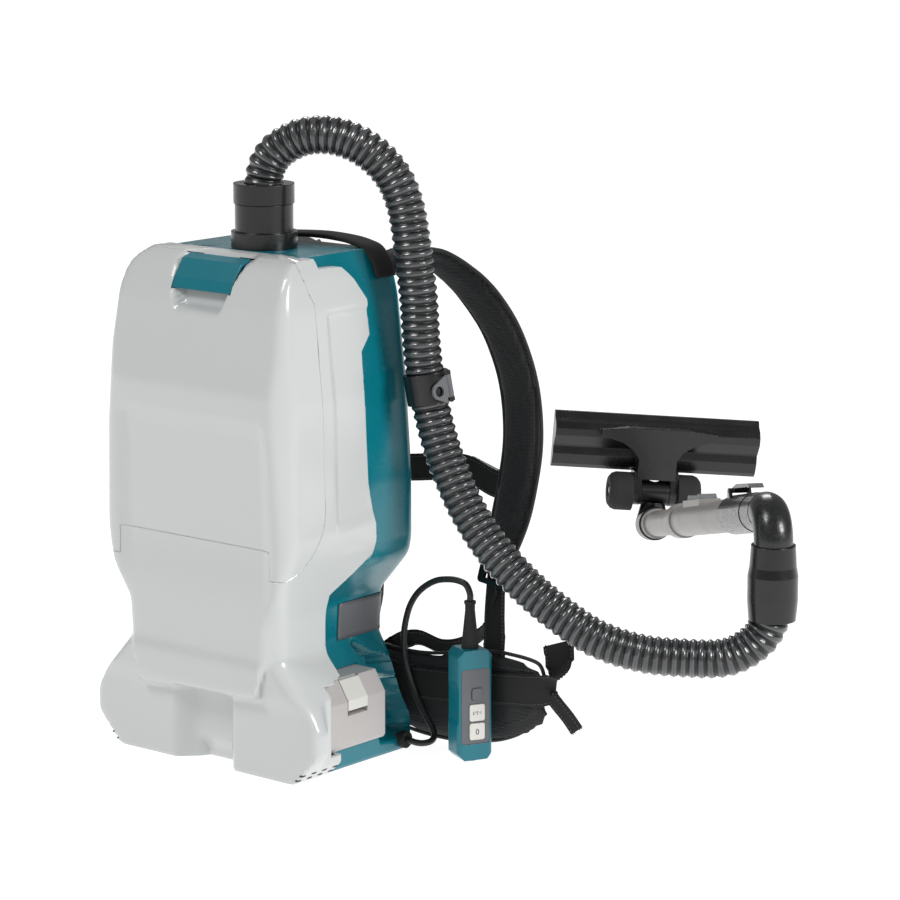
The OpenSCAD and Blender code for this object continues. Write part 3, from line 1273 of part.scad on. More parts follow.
boot_top = remote_at.z + boot_z0 + boot_l;
gland_y = 66;
gland_z = 9;
gland_r = 5;
gland_x = foot_x - 14;            // outer face of the rear foot
gland_l = 6;
cord_route = [
    [gland_x + gland_l - cord_in, gland_y, gland_z], [gland_x + gland_l, gland_y, gland_z],
    [gland_x + gland_l + 4, gland_y, gland_z], [118, 67.5, 8], [123, 71, 8], [125.5, 77, 9],
    [124, 83, 12], [118.5, 87, 17.5], [111, 88.5, 25],
    [104, 89, 34], [97, 89, 45], [91, 89, 57], [86.5, 89, 70], [84.5, 89, 84], [85, 88.5, 98],
    [89, 87, 112], [96, 84, 125], [106, 81, 137], [119, 78, 147], [134, 75, 154.5],
    [149, 73, 158], [160, 72.3, 158.5], [168, 72.8, 156],
    [remote_at.x, remote_at.y, boot_top + 6], [remote_at.x, remote_at.y, boot_top],
    [remote_at.x, remote_at.y, boot_top - cord_in]];

module remote_cord() color(black_c) solid_tube(even(fine(cord_route, 6), 30), cord_d / 2, 8);

module cord_gland() color(black_c) difference() {
    union() {
        rod_x(gland_r, gland_x - wall - 1, gland_x + 0.1, gland_y, gland_z);
        rod_x(gland_r + 2.4, gland_x + 0.1, gland_x + gland_l, gland_y, gland_z);
    }
    rod_x(cord_bore_r, gland_x + gland_l - cord_in - 0.15, gland_x + gland_l + cut, gland_y, gland_z);
}

rear_housing();
front_housing();
front_lid();
lid_hinge_pins();
lid_gasket();
lid_latch();
latch_pin();
dust_bag();
main_filter();
filter_deck();
fan_housing();
impeller();
motor_case();
motor_shaft();
motor_bearings();
motor_mounts();
circuit_board();
battery_tray();
battery_terminals();
battery_left();
battery_right();
release_button_left();
release_button_right();
rubber_feet();
housing_screws();
inlet_collar();
hose_coupling();
hose();
hose_band();
band_plate();
hose_cuff();
handle_pipe();
lock_lever();
wand_outer();
wand_inner();
wand_lock_button();
nozzle_elbow();
nozzle_neck();
nozzle_axle();
wheel_left();
wheel_right();
nozzle_body();
nozzle_sole();
back_pad();
shoulder_pad_left();
shoulder_pad_right();
strap_webbing();
strap_buckles();
chest_strap();
waist_belt();
belt_webbing();
carry_handle();
remote_case();
remote_panel();
key_light();
key_speed();
key_stop();
remote_boot();
remote_cord();
cord_gland();
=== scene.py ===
"""Backpack vacuum cleaner: materials, soft goods, hose and trim over the fixed CAD frame."""

import logging
import math
from dataclasses import dataclass
from enum import Enum
from functools import lru_cache
from typing import Callable, Iterable, Sequence

import bmesh
import bpy
from mathutils import Matrix, Vector
from mathutils.kdtree import KDTree


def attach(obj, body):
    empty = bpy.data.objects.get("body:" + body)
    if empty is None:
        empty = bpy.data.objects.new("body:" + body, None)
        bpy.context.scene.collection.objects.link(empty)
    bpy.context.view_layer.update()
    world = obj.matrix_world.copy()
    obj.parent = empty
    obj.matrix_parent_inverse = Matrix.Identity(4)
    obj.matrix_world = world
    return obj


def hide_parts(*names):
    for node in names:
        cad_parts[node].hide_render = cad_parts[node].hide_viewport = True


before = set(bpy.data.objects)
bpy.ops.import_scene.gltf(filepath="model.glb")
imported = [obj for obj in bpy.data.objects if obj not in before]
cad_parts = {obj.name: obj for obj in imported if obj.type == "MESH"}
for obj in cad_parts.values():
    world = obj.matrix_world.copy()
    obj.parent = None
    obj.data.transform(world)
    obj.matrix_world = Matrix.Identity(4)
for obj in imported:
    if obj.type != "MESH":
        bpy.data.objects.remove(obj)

logging.basicConfig(level=logging.INFO, format="%(message)s")
LOG = logging.getLogger("vacuum")
MM = 0.001
WAVE_TURNS = 0.314                # a wave texture's scale times its pitch
FLOOR_HALF = 12                   # half the floor's side, in metres
CLOTH_FRAMES = 20                 # how long a cover is filled
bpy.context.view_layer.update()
Point = tuple[float, float, float]


# --------------------------------------------------------------------------
# Finishes
# --------------------------------------------------------------------------
class Shader:
    """A material's node tree, with short ways to add and join nodes."""

    def __init__(self, name: str) -> None:
        """Start an empty material.

        Args:
            name: the material's name.
        """
        self.material = bpy.data.materials.new(name)
        self.material.use_nodes = True
        self.tree = self.material.node_tree
        self.surface = self.tree.nodes["Principled BSDF"]

    def add(self, kind: str, **sockets: object) -> bpy.types.Node:
        """Add a node and set or join its inputs.

        Args:
            kind: the node's type name.
            **sockets: values, or output sockets to link, by input name with
                spaces as underscores. A name of a property sets it instead.

        Returns:
            The new node.
        """
        node = self.tree.nodes.new(kind)
        for key, value in sockets.items():
            if hasattr(node, key) and key not in ("inputs", "outputs"):
                setattr(node, key, value)
                continue
            name = key.replace("_", " ")
            target = node.inputs[int(key[1:])] if key[0] == "i" and key[1:].isdigit() else node.inputs[name]
            self.set(target, value)
        return node

    def set(self, target: bpy.types.NodeSocket, value: object) -> None:
        """Join a socket to an output, or give it a plain value."""
        if isinstance(value, bpy.types.NodeSocket):
            self.tree.links.new(value, target)
        else:
            target.default_value = value

    def place(self, kind: str = "Object") -> bpy.types.NodeSocket:
        """Return a coordinate output: Object or UV."""
        return self.add("ShaderNodeTexCoord").outputs[kind]

    def mix(self, factor: object, a: object, b: object) -> bpy.types.NodeSocket:
        """Return the colour between a and b by a factor."""
        node = self.add("ShaderNodeMix", data_type="RGBA")
        self.set(node.inputs[0], factor)
        self.set(node.inputs[6], a)
        self.set(node.inputs[7], b)
        return node.outputs[2]

    def scale(self, value: object, low: float, high: float, start: float = 0,
            end: float = 1) -> bpy.types.NodeSocket:
        """Return a value mapped from start..end to low..high."""
        node = self.add("ShaderNodeMapRange", From_Min=start, From_Max=end, To_Min=low, To_Max=high)
        self.set(node.inputs["Value"], value)
        return node.outputs[0]

    def noise(self, size: float, detail: float = 3, place: object = None) -> bpy.types.NodeSocket:
        """Return a noise value whose features are about 1/size metres."""
        node = self.add("ShaderNodeTexNoise", Scale=size, Detail=detail)
        self.set(node.inputs["Vector"], place or self.place())
        return node.outputs["Fac"]

    def bump(self, height: object, distance: float, normal: object = None) -> bpy.types.NodeSocket:
        """Return a normal raised by a height, in metres."""
        node = self.add("ShaderNodeBump", Distance=distance)
        self.set(node.inputs["Height"], height)
        if normal is not None:
            self.set(node.inputs["Normal"], normal)
        return node.outputs["Normal"]

    def edge(self, radius: float) -> bpy.types.NodeSocket:
        """Return the normal of an edge rounded in the shading."""
        return self.add("ShaderNodeBevel", samples=6, Radius=radius).outputs["Normal"]

    def finish(self, **sockets: object) -> bpy.types.Material:
        """Set the surface's inputs and return the material."""
        for key, value in sockets.items():
            self.set(self.surface.inputs[key.replace("_", " ")], value)
        return self.material


def rgba(colour: Sequence[float], gain: float = 1.0) -> tuple[float, float, float, float]:
    """Return a linear RGB colour times gain, with full alpha."""
    return tuple(min(1.0, c * gain) for c in colour) + (1.0,)


@dataclass(frozen=True)
class Finish:
    """A surface finish. Subclasses draw its nodes."""

    name: str
    colour: tuple[float, float, float]

    def draw(self, sh: Shader) -> bpy.types.Material:
        """Build the nodes on sh and return the material."""
        raise NotImplementedError

    def material(self) -> bpy.types.Material:
        """Return the finish's material, made once."""
        return bpy.data.materials.get(self.name) or self.draw(Shader(self.name))


@dataclass(frozen=True)
class Moulded(Finish):
    """Injection-moulded plastic with a fine texture, soft edges and light handling marks."""

    rough: float = 0.35
    grain: float = 0.00004
    grain_size: float = 2600.0
    edge: float = 0.0012
    clouds: float = 0.05
    coat: float = 0.0
    wear: float = 0.05

    def draw(self, sh: Shader) -> bpy.types.Material:
        """Colour clouds, edge wear in the roughness, and grain over rounded edges."""
        clouds = sh.noise(9, 2)
        colour = sh.mix(sh.scale(clouds, 0, 1, 0.35, 0.65), rgba(self.colour, 1 - self.clouds),
            rgba(self.colour, 1 + self.clouds))
        marks = sh.scale(sh.noise(45, 3), self.rough - self.wear / 2, self.rough + self.wear, 0.35, 0.7)
        normal = sh.bump(sh.noise(self.grain_size, 2), self.grain,
            sh.edge(self.edge) if self.edge else None)
        return sh.finish(Base_Color=colour, Roughness=marks, Normal=normal, Coat_Weight=self.coat,
            Coat_Roughness=0.15)


@dataclass(frozen=True)
class Smoked(Finish):
    """Clear plastic with a smoke tint, seen as a dark glossy wall that lets some light through."""

    rough: float = 0.12
    through: float = 0.35
    coat: float = 0.8
    ripple: float = 0.0004

    def draw(self, sh: Shader) -> bpy.types.Material:
        """Gloss with faint flow lines and a milky variation."""
        milk = sh.noise(55, 5)
        colour = sh.mix(sh.scale(milk, 0, 1, 0.3, 0.7), rgba(self.colour, 0.7), rgba(self.colour, 1.5))
        rough = sh.scale(sh.noise(420, 4), self.rough * 0.7, self.rough * 1.6, 0.3, 0.7)
        normal = sh.bump(sh.noise(300, 4), self.ripple)
        return sh.finish(Base_Color=colour, Roughness=rough, Normal=normal, IOR=1.49,
            Transmission_Weight=self.through, Coat_Weight=self.coat, Coat_Roughness=0.08)


@dataclass(frozen=True)
class SpacerMesh(Finish):
    """Three-layer air mesh: rows of small oval holes, painted dark as shade inside them."""

    pitch: float = 0.0021
    rough: float = 0.8

    def draw(self, sh: Shader) -> bpy.types.Material:
        """Honeycomb of holes from a cell pattern, with sheen from the yarn."""
        spot = sh.add("ShaderNodeMapping", Scale=(1.0, 1.0, 0.62))
        sh.set(spot.inputs["Vector"], sh.place())
        cells = sh.add("ShaderNodeTexVoronoi", Scale=1 / self.pitch, Randomness=0.18)
        sh.set(cells.inputs["Vector"], spot.outputs[0])
        hole = sh.scale(cells.outputs["Distance"], 1, 0, 0.18, 0.42)
        tint = sh.scale(sh.noise(22, 3), 0, 1, 0.3, 0.7)
        yarn = sh.mix(tint, rgba(self.colour, 0.8), rgba(self.colour, 1.3))
        # the holes get a much darker colour: painted shade inside them
        colour = sh.mix(hole, yarn, rgba(self.colour, 0.22))
        normal = sh.bump(sh.scale(hole, 1, 0), 0.0006)
        return sh.finish(Base_Color=colour, Roughness=self.rough, Normal=normal, Sheen_Weight=0.08,
            Sheen_Roughness=0.4)


@dataclass(frozen=True)
class Woven(Finish):
    """Plain or herringbone weave of flat yarns, for webbing, tape and shell cloth."""

    pitch: float = 0.0011
    relief: float = 0.00025
    rough: float = 0.6
    sheen: float = 0.08
    on_uv: bool = False

    def draw(self, sh: Shader) -> bpy.types.Material:
        """Two crossed sets of ridges; on a UV map u is across and v along, in metres."""
        place = sh.place("UV" if self.on_uv else "Object")
        ridges = []
        for axis in ("X", "Y") if self.on_uv else ("Z", "DIAGONAL"):
            wave = sh.add("ShaderNodeTexWave", bands_direction=axis, Scale=WAVE_TURNS / self.pitch)
            sh.set(wave.inputs["Vector"], place)
            ridges.append(wave.outputs["Fac"])
        weave = sh.add("ShaderNodeMath", operation="MULTIPLY", i0=ridges[0], i1=ridges[1]).outputs[0]
        dust = sh.scale(sh.noise(38, 4), 0.85, 1.2, 0.3, 0.7)
        depth = sh.add("ShaderNodeMath", operation="MULTIPLY", i0=weave, i1=dust).outputs[0]
        # colour follows the weave's height: painted shade between the yarns and painted highlight on the
        # yarn tops, varied by the dust noise
        colour = sh.mix(depth, rgba(self.colour, 0.45), rgba(self.colour, 1.35))
        return sh.finish(Base_Color=colour, Roughness=self.rough, Normal=sh.bump(weave, self.relief),
            Sheen_Weight=self.sheen, Sheen_Roughness=0.35)


@dataclass(frozen=True)
class Metal(Finish):
    """Turned or drawn metal with fine brushing."""

    rough: float = 0.3

    def draw(self, sh: Shader) -> bpy.types.Material:
        """Brushed roughness over a plain metal."""
        lines = sh.add("ShaderNodeMapping", Scale=(1.0, 1.0, 30.0))
        sh.set(lines.inputs["Vector"], sh.place())
        brush = sh.noise(300, 3, lines.outputs[0])
        rough = sh.scale(brush, self.rough * 0.7, self.rough * 1.4, 0.3, 0.7)
        return sh.finish(Base_Color=rgba(self.colour), Metallic=1.0, Roughness=rough,
            Normal=sh.bump(brush, 0.00003))


@dataclass(frozen=True)
class Paper(Finish):
    """Filter fleece: short fibres with no direction."""

    def draw(self, sh: Shader) -> bpy.types.Material:
        """Fibre noise in colour and bump."""
        fibre = sh.noise(900, 8)
        colour = sh.mix(fibre, rgba(self.colour, 0.82), rgba(self.colour, 1.1))
        return sh.finish(Base_Color=colour, Roughness=0.9, Normal=sh.bump(fibre, 0.0004))


class Coat(Enum):
    """Every finish of the cleaner."""

    SHELL = Moulded("shell_white", (0.6, 0.62, 0.615), rough=0.24, grain=0.00001, edge=0.0, clouds=0.008,
        coat=0.3, wear=0.03)
    TEAL = Moulded("shell_teal", (0.0, 0.172, 0.222), rough=0.25, grain=0.000015, edge=0.0, clouds=0.03,
        coat=0.3,
        wear=0.04)
    TEAL_TRIM = Moulded("trim_teal", (0.0, 0.165, 0.215), rough=0.3, edge=0.0012, clouds=0.03, coat=0.2)
    # lighter hose finish for the rib crests: painted highlight
    CREST_HIGHLIGHT = Smoked("hose_crest_painted_highlight", (0.05, 0.053, 0.056), rough=0.14, through=0.0)
    SATIN = Moulded("satin_black", (0.006, 0.006, 0.007), rough=0.25, edge=0.0012, clouds=0.1, coat=0.15)
    GREY = Moulded("moulded_grey", (0.13, 0.135, 0.145), rough=0.42, edge=0.0005)
    PANEL = Moulded("panel_grey", (0.125, 0.13, 0.14), rough=0.46, edge=0.0003)
    CREAM = Moulded("moulded_cream", (0.72, 0.71, 0.67), rough=0.34, edge=0.0008, clouds=0.02)
    PACK = Moulded("pack_grey", (0.5, 0.475, 0.465), rough=0.42, edge=0.0012, clouds=0.04)
    WAND = Moulded("wand_grey", (0.3, 0.285, 0.27), rough=0.36, edge=0.0007, clouds=0.05)
    BOARD = Moulded("board_green", (0.02, 0.13, 0.05), rough=0.4, edge=0.0)
    INK = Moulded("ink", (0.03, 0.03, 0.035), rough=0.5, edge=0.0)
    RUBBER = Moulded("rubber", (0.014, 0.014, 0.014), rough=0.6, grain=0.00008, edge=0.0006, clouds=0.15)
    CORD = Moulded("cord_rubber", (0.02, 0.021, 0.021), rough=0.42, grain=0.00005, edge=0.0)
    # near-black hose finish left in the grooves: painted shade
    HOSE = Smoked("hose_groove_painted_shade", (0.006, 0.006, 0.007), rough=0.34, through=0.0, coat=0.1)
    HANDLE = Smoked("handle_smoke", (0.012, 0.0125, 0.0135), rough=0.26, through=0.0, coat=0.25,
        ripple=0.00002)
    MESH = SpacerMesh("spacer_mesh", (0.02, 0.02, 0.021))
    TAPE = Woven("webbing", (0.018, 0.018, 0.019), on_uv=True)
    PIPING = Woven("edge_tape", (0.03, 0.03, 0.032), pitch=0.0009, relief=0.0003)
    THREAD = Woven("thread", (0.08, 0.08, 0.085), pitch=0.0005, relief=0.0001)
    STEEL = Metal("steel", (0.58, 0.58, 0.6))
    COPPER = Metal("copper", (0.75, 0.4, 0.22), rough=0.25)
    PAPER = Paper("filter_fleece", (0.62, 0.57, 0.46))

    @property
    def look(self) -> bpy.types.Material:
        """The finish's material."""
        return self.value.material()


# --------------------------------------------------------------------------
# Lines and meshes
# --------------------------------------------------------------------------
def spline(points: Sequence[Sequence[float]], per: int = 8) -> list[Vector]:
    """Return a smooth line through points.

    Args:
        points: the route, in millimetres.
        per: steps between two points.

    Returns:
        The line's points, in millimetres.
    """
    pts = [Vector(p) for p in points]
    get = lambda i: pts[max(0, min(len(pts) - 1, i))]
    out = []
    for k in range((len(pts) - 1) * per + 1):
        i = min(k // per, len(pts) - 2)
        f = k / per - i
        a, b, c, d = get(i - 1), get(i), get(i + 1), get(i + 2)
        out.append(0.5 * (2 * b + (c - a) * f + (2 * a - 5 * b + 4 * c - d) * f * f
            + (3 * b - a - 3 * c + d) * f ** 3))
    return out


def evenly(line: Sequence[Vector], count: int) -> list[Vector]:
    """Return count + 1 points at even steps along a line."""
    run = [0.0]
    for a, b in zip(line, line[1:]):
        run.append(run[-1] + (b - a).length)
    out, j = [], 0
    for k in range(count + 1):
        goal = run[-1] * k / count
        while j < len(line) - 2 and run[j + 1] < goal:
            j += 1
        out.append(line[j].lerp(line[j + 1], min(1.0, (goal - run[j]) / max(1e-9, run[j + 1] - run[j]))))
    return out


def length_of(line: Sequence[Vector]) -> float:
    """Return a line's length."""
    return sum((b - a).length for a, b in zip(line, line[1:]))


def heading(line: Sequence[Vector], i: int) -> Vector:
    """Return a line's direction at point i."""
    return (line[min(i + 1, len(line) - 1)] - line[max(i - 1, 0)]).normalized()


def square_to(v: Vector, axis: Vector) -> Vector:
    """Return v turned square to an axis, of unit length."""
    return (v - axis * v.dot(axis)).normalized()


def piece(name: str, verts: Iterable[Vector], faces: Iterable[Sequence[int]], coat: Coat,
        body: str = "vacuum",
          smooth: bool = True, unit: float = MM) -> bpy.types.Object:
    """Make a mesh object that rides on a body.

    Args:
        name: the piece's name.
        verts: its points.
        faces: its faces, as point numbers.
        coat: its finish.
        body: the body it moves with.
        smooth: whether its faces are shaded smooth.
        unit: metres in one unit of verts.

    Returns:
        The new object.
    """
    mesh = bpy.data.meshes.new(name)
    mesh.from_pydata([Vector(v) * unit for v in verts], [], [tuple(f) for f in faces])
    mesh.materials.append(coat.look)
    mesh.validate()
    if smooth:
        mesh.shade_smooth()
    obj = bpy.data.objects.new(name, mesh)
    bpy.context.scene.collection.objects.link(obj)
    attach(obj, body)
    return obj


def outward(obj: bpy.types.Object) -> bpy.types.Object:
    """Merge an object's doubles, turn its faces outwards and return it."""
    bm = bmesh.new()
    bm.from_mesh(obj.data)
    bmesh.ops.remove_doubles(bm, verts=bm.verts, dist=1e-6)
    bmesh.ops.recalc_face_normals(bm, faces=bm.faces)
    bm.to_mesh(obj.data)
    bm.free()
    return obj


def join(name: str, parts: Sequence[bpy.types.Object], body: str = "vacuum") -> bpy.types.Object:
    """Join meshes of one body into one object."""
    keep = parts[0]
    if len(parts) > 1:
        with bpy.context.temp_override(active_object=keep, object=keep, selected_objects=list(parts),
                                       selected_editable_objects=list(parts)):
            bpy.ops.object.join()
    keep.name = name
    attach(keep, body)
    return keep


def modified(obj: bpy.types.Object, kind: str, **values: object) -> bpy.types.Object:
    """Add a modifier, apply it and return the object."""
    mod = obj.modifiers.new(kind.lower(), kind)
    for key, value in values.items():
        setattr(mod, key, value)
    return baked(obj)


def baked(obj: bpy.types.Object) -> bpy.types.Object:
    """Turn an object's modifiers into its mesh."""
    bpy.context.view_layer.update()
    made = bpy.data.meshes.new_from_object(obj.evaluated_get(bpy.context.evaluated_depsgraph_get()))
    obj.modifiers.clear()
    old = obj.data
    obj.data = made
    if not made.materials:
        for material in old.materials:
            made.materials.append(material)
    return obj


def band(name: str, line: Sequence[Vector], width: Callable[[float], float],
        thick: Callable[[float], float],
         across: Callable[[float], Vector], coat: Coat, sides: int = 16, square: float = 0.55,
         body: str = "vacuum", shift: float = 0.0) -> bpy.types.Object:
    """Sweep a rounded flat section along a line, closed at both ends.

    Args:
        name: the piece's name.
        line: the middle line, in millimetres.
        width: the width at a place from 0 to 1 along the line.
        thick: the thickness there.
        across: the width's direction there.
        coat: the finish.
        sides: points round the section.
        square: power of the section's corners; smaller is squarer.
        body: the body it rides on.
        shift: move along the thickness, in millimetres.

    Returns:
        The piece, with a UV map in metres: u across, v along.
    """
    n = len(line)
    verts, faces, uvs = [], [], []
    run = 0.0
    for i, p in enumerate(line):
        t = i / (n - 1)
        run += (p - line[i - 1]).length if i else 0.0
        axis = heading(line, i)
        u = square_to(across(t), axis)
        v = axis.cross(u)
        for k in range(sides):
            a = 2 * math.pi * (k + 0.5) / sides
            c, s = math.cos(a), math.sin(a)
            x = width(t) / 2 * math.copysign(abs(c) ** square, c)
            y = thick(t) / 2 * math.copysign(abs(s) ** 0.8, s) + shift
            verts.append(p + u * x + v * y)
            uvs.append((x * MM, run * MM))
    for i in range(n - 1):
        for k in range(sides):
            a, b = i * sides + k, i * sides + (k + 1) % sides
            faces.append((a, a + sides, b + sides, b))
    faces.append(tuple(range(sides)))
    faces.append(tuple((n - 1) * sides + k for k in range(sides - 1, -1, -1)))
    obj = piece(name, verts, faces, coat, body)
    layer = obj.data.uv_layers.new(name="UVMap")
    for loop in obj.data.loops:
        layer.data[loop.index].uv = uvs[loop.vertex_index]
    outward(obj)
    return obj


def flat(value: float) -> Callable[[float], float]:
    """Return a function that is value everywhere."""
    return lambda t: value


def steady(v: Sequence[float]) -> Callable[[float], Vector]:
    """Return a function that gives one direction everywhere."""
    return lambda t: Vector(v)


def tube(name: str, line: Sequence[Vector], radius: float, coat: Coat, body: str = "vacuum",
        sides: int = 10) -> bpy.types.Object:
    """Make a closed round tube along a line, in millimetres."""
    verts, faces = [], []
    n = square_to(Vector((1, 0.2, 0.1)), heading(line, 0))
    for i, p in enumerate(line):
        axis = heading(line, i)
        n = square_to(n, axis)
        b = axis.cross(n)
        for k in range(sides):
            a = 2 * math.pi * k / sides
            verts.append(p + n * radius * math.cos(a) + b * radius * math.sin(a))
    for i in range(len(line) - 1):
        for k in range(sides):
            a, c = i * sides + k, i * sides + (k + 1) % sides
            faces.append((a, c, c + sides, a + sides))
    faces.append(tuple(range(sides - 1, -1, -1)))
    faces.append(tuple((len(line) - 1) * sides + k for k in range(sides)))
    return outward(piece(name, verts, faces, coat, body))


# --------------------------------------------------------------------------
# Geometry Nodes
# --------------------------------------------------------------------------
class Tree:
    """A Geometry Nodes tree with named inputs."""

    def __init__(self, name: str, **inputs: float) -> None:
        """Start a tree.

        Args:
            name: the tree's name.
            **inputs: its number inputs and their defaults; an int makes a whole-number input.
        """
        self.group = bpy.data.node_groups.new(name, "GeometryNodeTree")
        face = self.group.interface
        face.new_socket("Geometry", in_out="INPUT", socket_type="NodeSocketGeometry")
        face.new_socket("Geometry", in_out="OUTPUT", socket_type="NodeSocketGeometry")
        self.keys: dict[str, str] = {}
        for key, value in inputs.items():
            kind = "NodeSocketInt" if isinstance(value, int) else "NodeSocketFloat"
            socket = face.new_socket(key, in_out="INPUT", socket_type=kind)
            socket.default_value = value
            self.keys[key] = socket.identifier
        self.source = self.group.nodes.new("NodeGroupInput")
        self.sink = self.group.nodes.new("NodeGroupOutput")

    def add(self, kind: str, props: dict[str, object] | None = None, **sockets: object) -> bpy.types.Node:
        """Add a node; sockets are values or outputs, by name or as i0, i1."""
        node = self.group.nodes.new(kind)
        for key, value in (props or {}).items():
            setattr(node, key, value)
        for key, value in sockets.items():
            numbered = key[0] == "i" and key[1:].isdigit()
            target = node.inputs[int(key[1:]) if numbered else key.replace("_", " ")]
            if isinstance(value, bpy.types.NodeSocket):
                self.group.links.new(value, target)
            else:
                target.default_value = value
        return node

    def maths(self, operation: str, a: object, b: object = 0.0) -> bpy.types.NodeSocket:
        """Return the result of a maths node."""
        return self.add("ShaderNodeMath", {"operation": operation}, i0=a, i1=b).outputs[0]

    def close(self, geometry: bpy.types.NodeSocket, coat: Coat) -> None:
        """End the tree: instances become real and get their finish."""
        real = self.add("GeometryNodeRealizeInstances", Geometry=geometry).outputs[0]
        done = self.add("GeometryNodeSetMaterial", Geometry=real, Material=coat.look).outputs[0]
        self.group.links.new(done, self.sink.inputs[0])

    def run(self, name: str, line: Sequence[Vector], coat: Coat, body: str,
            **values: float) -> bpy.types.Object:
        """Run the tree on a line and keep the mesh.

        Args:
            name: the piece's name.
            line: the points of the curve, in millimetres.
            coat: the finish.
            body: the body it rides on.
            **values: the tree's inputs.

        Returns:
            A plain mesh object.
        """
        curve = bpy.data.curves.new(name + "_line", "CURVE")
        curve.dimensions = "3D"
        path = curve.splines.new("POLY")
        path.points.add(len(line) - 1)
        for point, p in zip(path.points, line):
            point.co = (*(Vector(p) * MM), 1)
        holder = bpy.data.objects.new(name + "_line", curve)
        bpy.context.scene.collection.objects.link(holder)
        mod = holder.modifiers.new("nodes", "NODES")
        mod.node_group = self.group
        for key, value in values.items():
            mod[self.keys[key]] = value
        bpy.context.view_layer.update()
        mesh = bpy.data.meshes.new_from_object(holder.evaluated_get(bpy.context.evaluated_depsgraph_get()))
        bpy.data.objects.remove(holder)
        mesh.name = name
        if not mesh.materials:
            mesh.materials.append(coat.look)
        obj = bpy.data.objects.new(name, mesh)
        bpy.context.scene.collection.objects.link(obj)
        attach(obj, body)
        return obj


def ribbed_tree(coat: Coat) -> Tree:
    """Return a tree that wraps a ribbed tube round a curve."""
    tree = Tree("ribbed_tube", Ribs=110, Radius=0.0167, Depth=0.0018, Steps=12, Sides=40)
    get = tree.source.outputs
    count = tree.maths("ADD", tree.maths("MULTIPLY", get["Ribs"], get["Steps"]), 1.0)
    even = tree.add("GeometryNodeResampleCurve", Curve=get["Geometry"], Count=count)
    along = tree.add("GeometryNodeSplineParameter").outputs["Factor"]
    phase = tree.maths("MULTIPLY", tree.maths("MULTIPLY", along, get["Ribs"]), 2 * math.pi)
    wave = tree.maths("MULTIPLY", tree.maths("SUBTRACT", 1.0, tree.maths("COSINE", phase)), 0.5)
    ridge = tree.maths("POWER", wave, 0.75)
    dip = tree.maths("MULTIPLY", tree.maths("SUBTRACT", 1.0, ridge),
        tree.maths("DIVIDE", get["Depth"], get["Radius"]))
    size = tree.maths("SUBTRACT", 1.0, dip)
    wide = tree.add("GeometryNodeSetCurveRadius", Curve=even.outputs[0], Radius=size)
    ring = tree.add("GeometryNodeCurvePrimitiveCircle", Resolution=get["Sides"], Radius=get["Radius"])
    skin = tree.add("GeometryNodeCurveToMesh", Curve=wide.outputs[0], Profile_Curve=ring.outputs[0],
        Fill_Caps=True)
    if "Scale" in skin.inputs:
        tree.group.links.new(tree.add("GeometryNodeInputRadius").outputs[0], skin.inputs["Scale"])
    tree.close(tree.add("GeometryNodeSetShadeSmooth", Geometry=skin.outputs[0]).outputs[0], coat)
    return tree


def stitch_tree(coat: Coat) -> Tree:
    """Return a tree that lays stitches end to end along a curve."""
    tree = Tree("stitches", Step=0.0034, Size=0.00055, Long=0.0024)
    get = tree.source.outputs
    dots = tree.add("GeometryNodeCurveToPoints", {"mode": "LENGTH"}, Curve=get["Geometry"],
        Length=get["Step"])
    ball = tree.add("GeometryNodeMeshUVSphere", Segments=8, Rings=5, Radius=1.0)
    size = tree.add("ShaderNodeCombineXYZ", X=get["Size"], Y=get["Size"],
        Z=tree.maths("MULTIPLY", get["Long"], 0.5))
    laid = tree.add("GeometryNodeInstanceOnPoints", Points=dots.outputs["Points"], Instance=ball.outputs[0],
        Rotation=dots.outputs["Rotation"], Scale=size.outputs[0])
    tree.close(laid.outputs[0], coat)
    return tree


def bar_tree(coat: Coat) -> Tree:
    """Return a tree that stands small rounded bars at even steps along a curve, square to it."""
    tree = Tree("bars", Count=12, Wide=0.008, Deep=0.0026, Long=0.0026)
    get = tree.source.outputs
    dots = tree.add("GeometryNodeCurveToPoints", {"mode": "COUNT"}, Curve=get["Geometry"],
        Count=get["Count"])
    size = tree.add("ShaderNodeCombineXYZ", X=get["Long"], Y=get["Deep"], Z=get["Wide"])
    block = tree.add("GeometryNodeMeshUVSphere", Segments=12, Rings=8, Radius=0.5)
    laid = tree.add("GeometryNodeInstanceOnPoints", Points=dots.outputs["Points"],
        Instance=block.outputs[0],
        Rotation=dots.outputs["Rotation"], Scale=size.outputs[0])
    tree.close(laid.outputs[0], coat)
    return tree


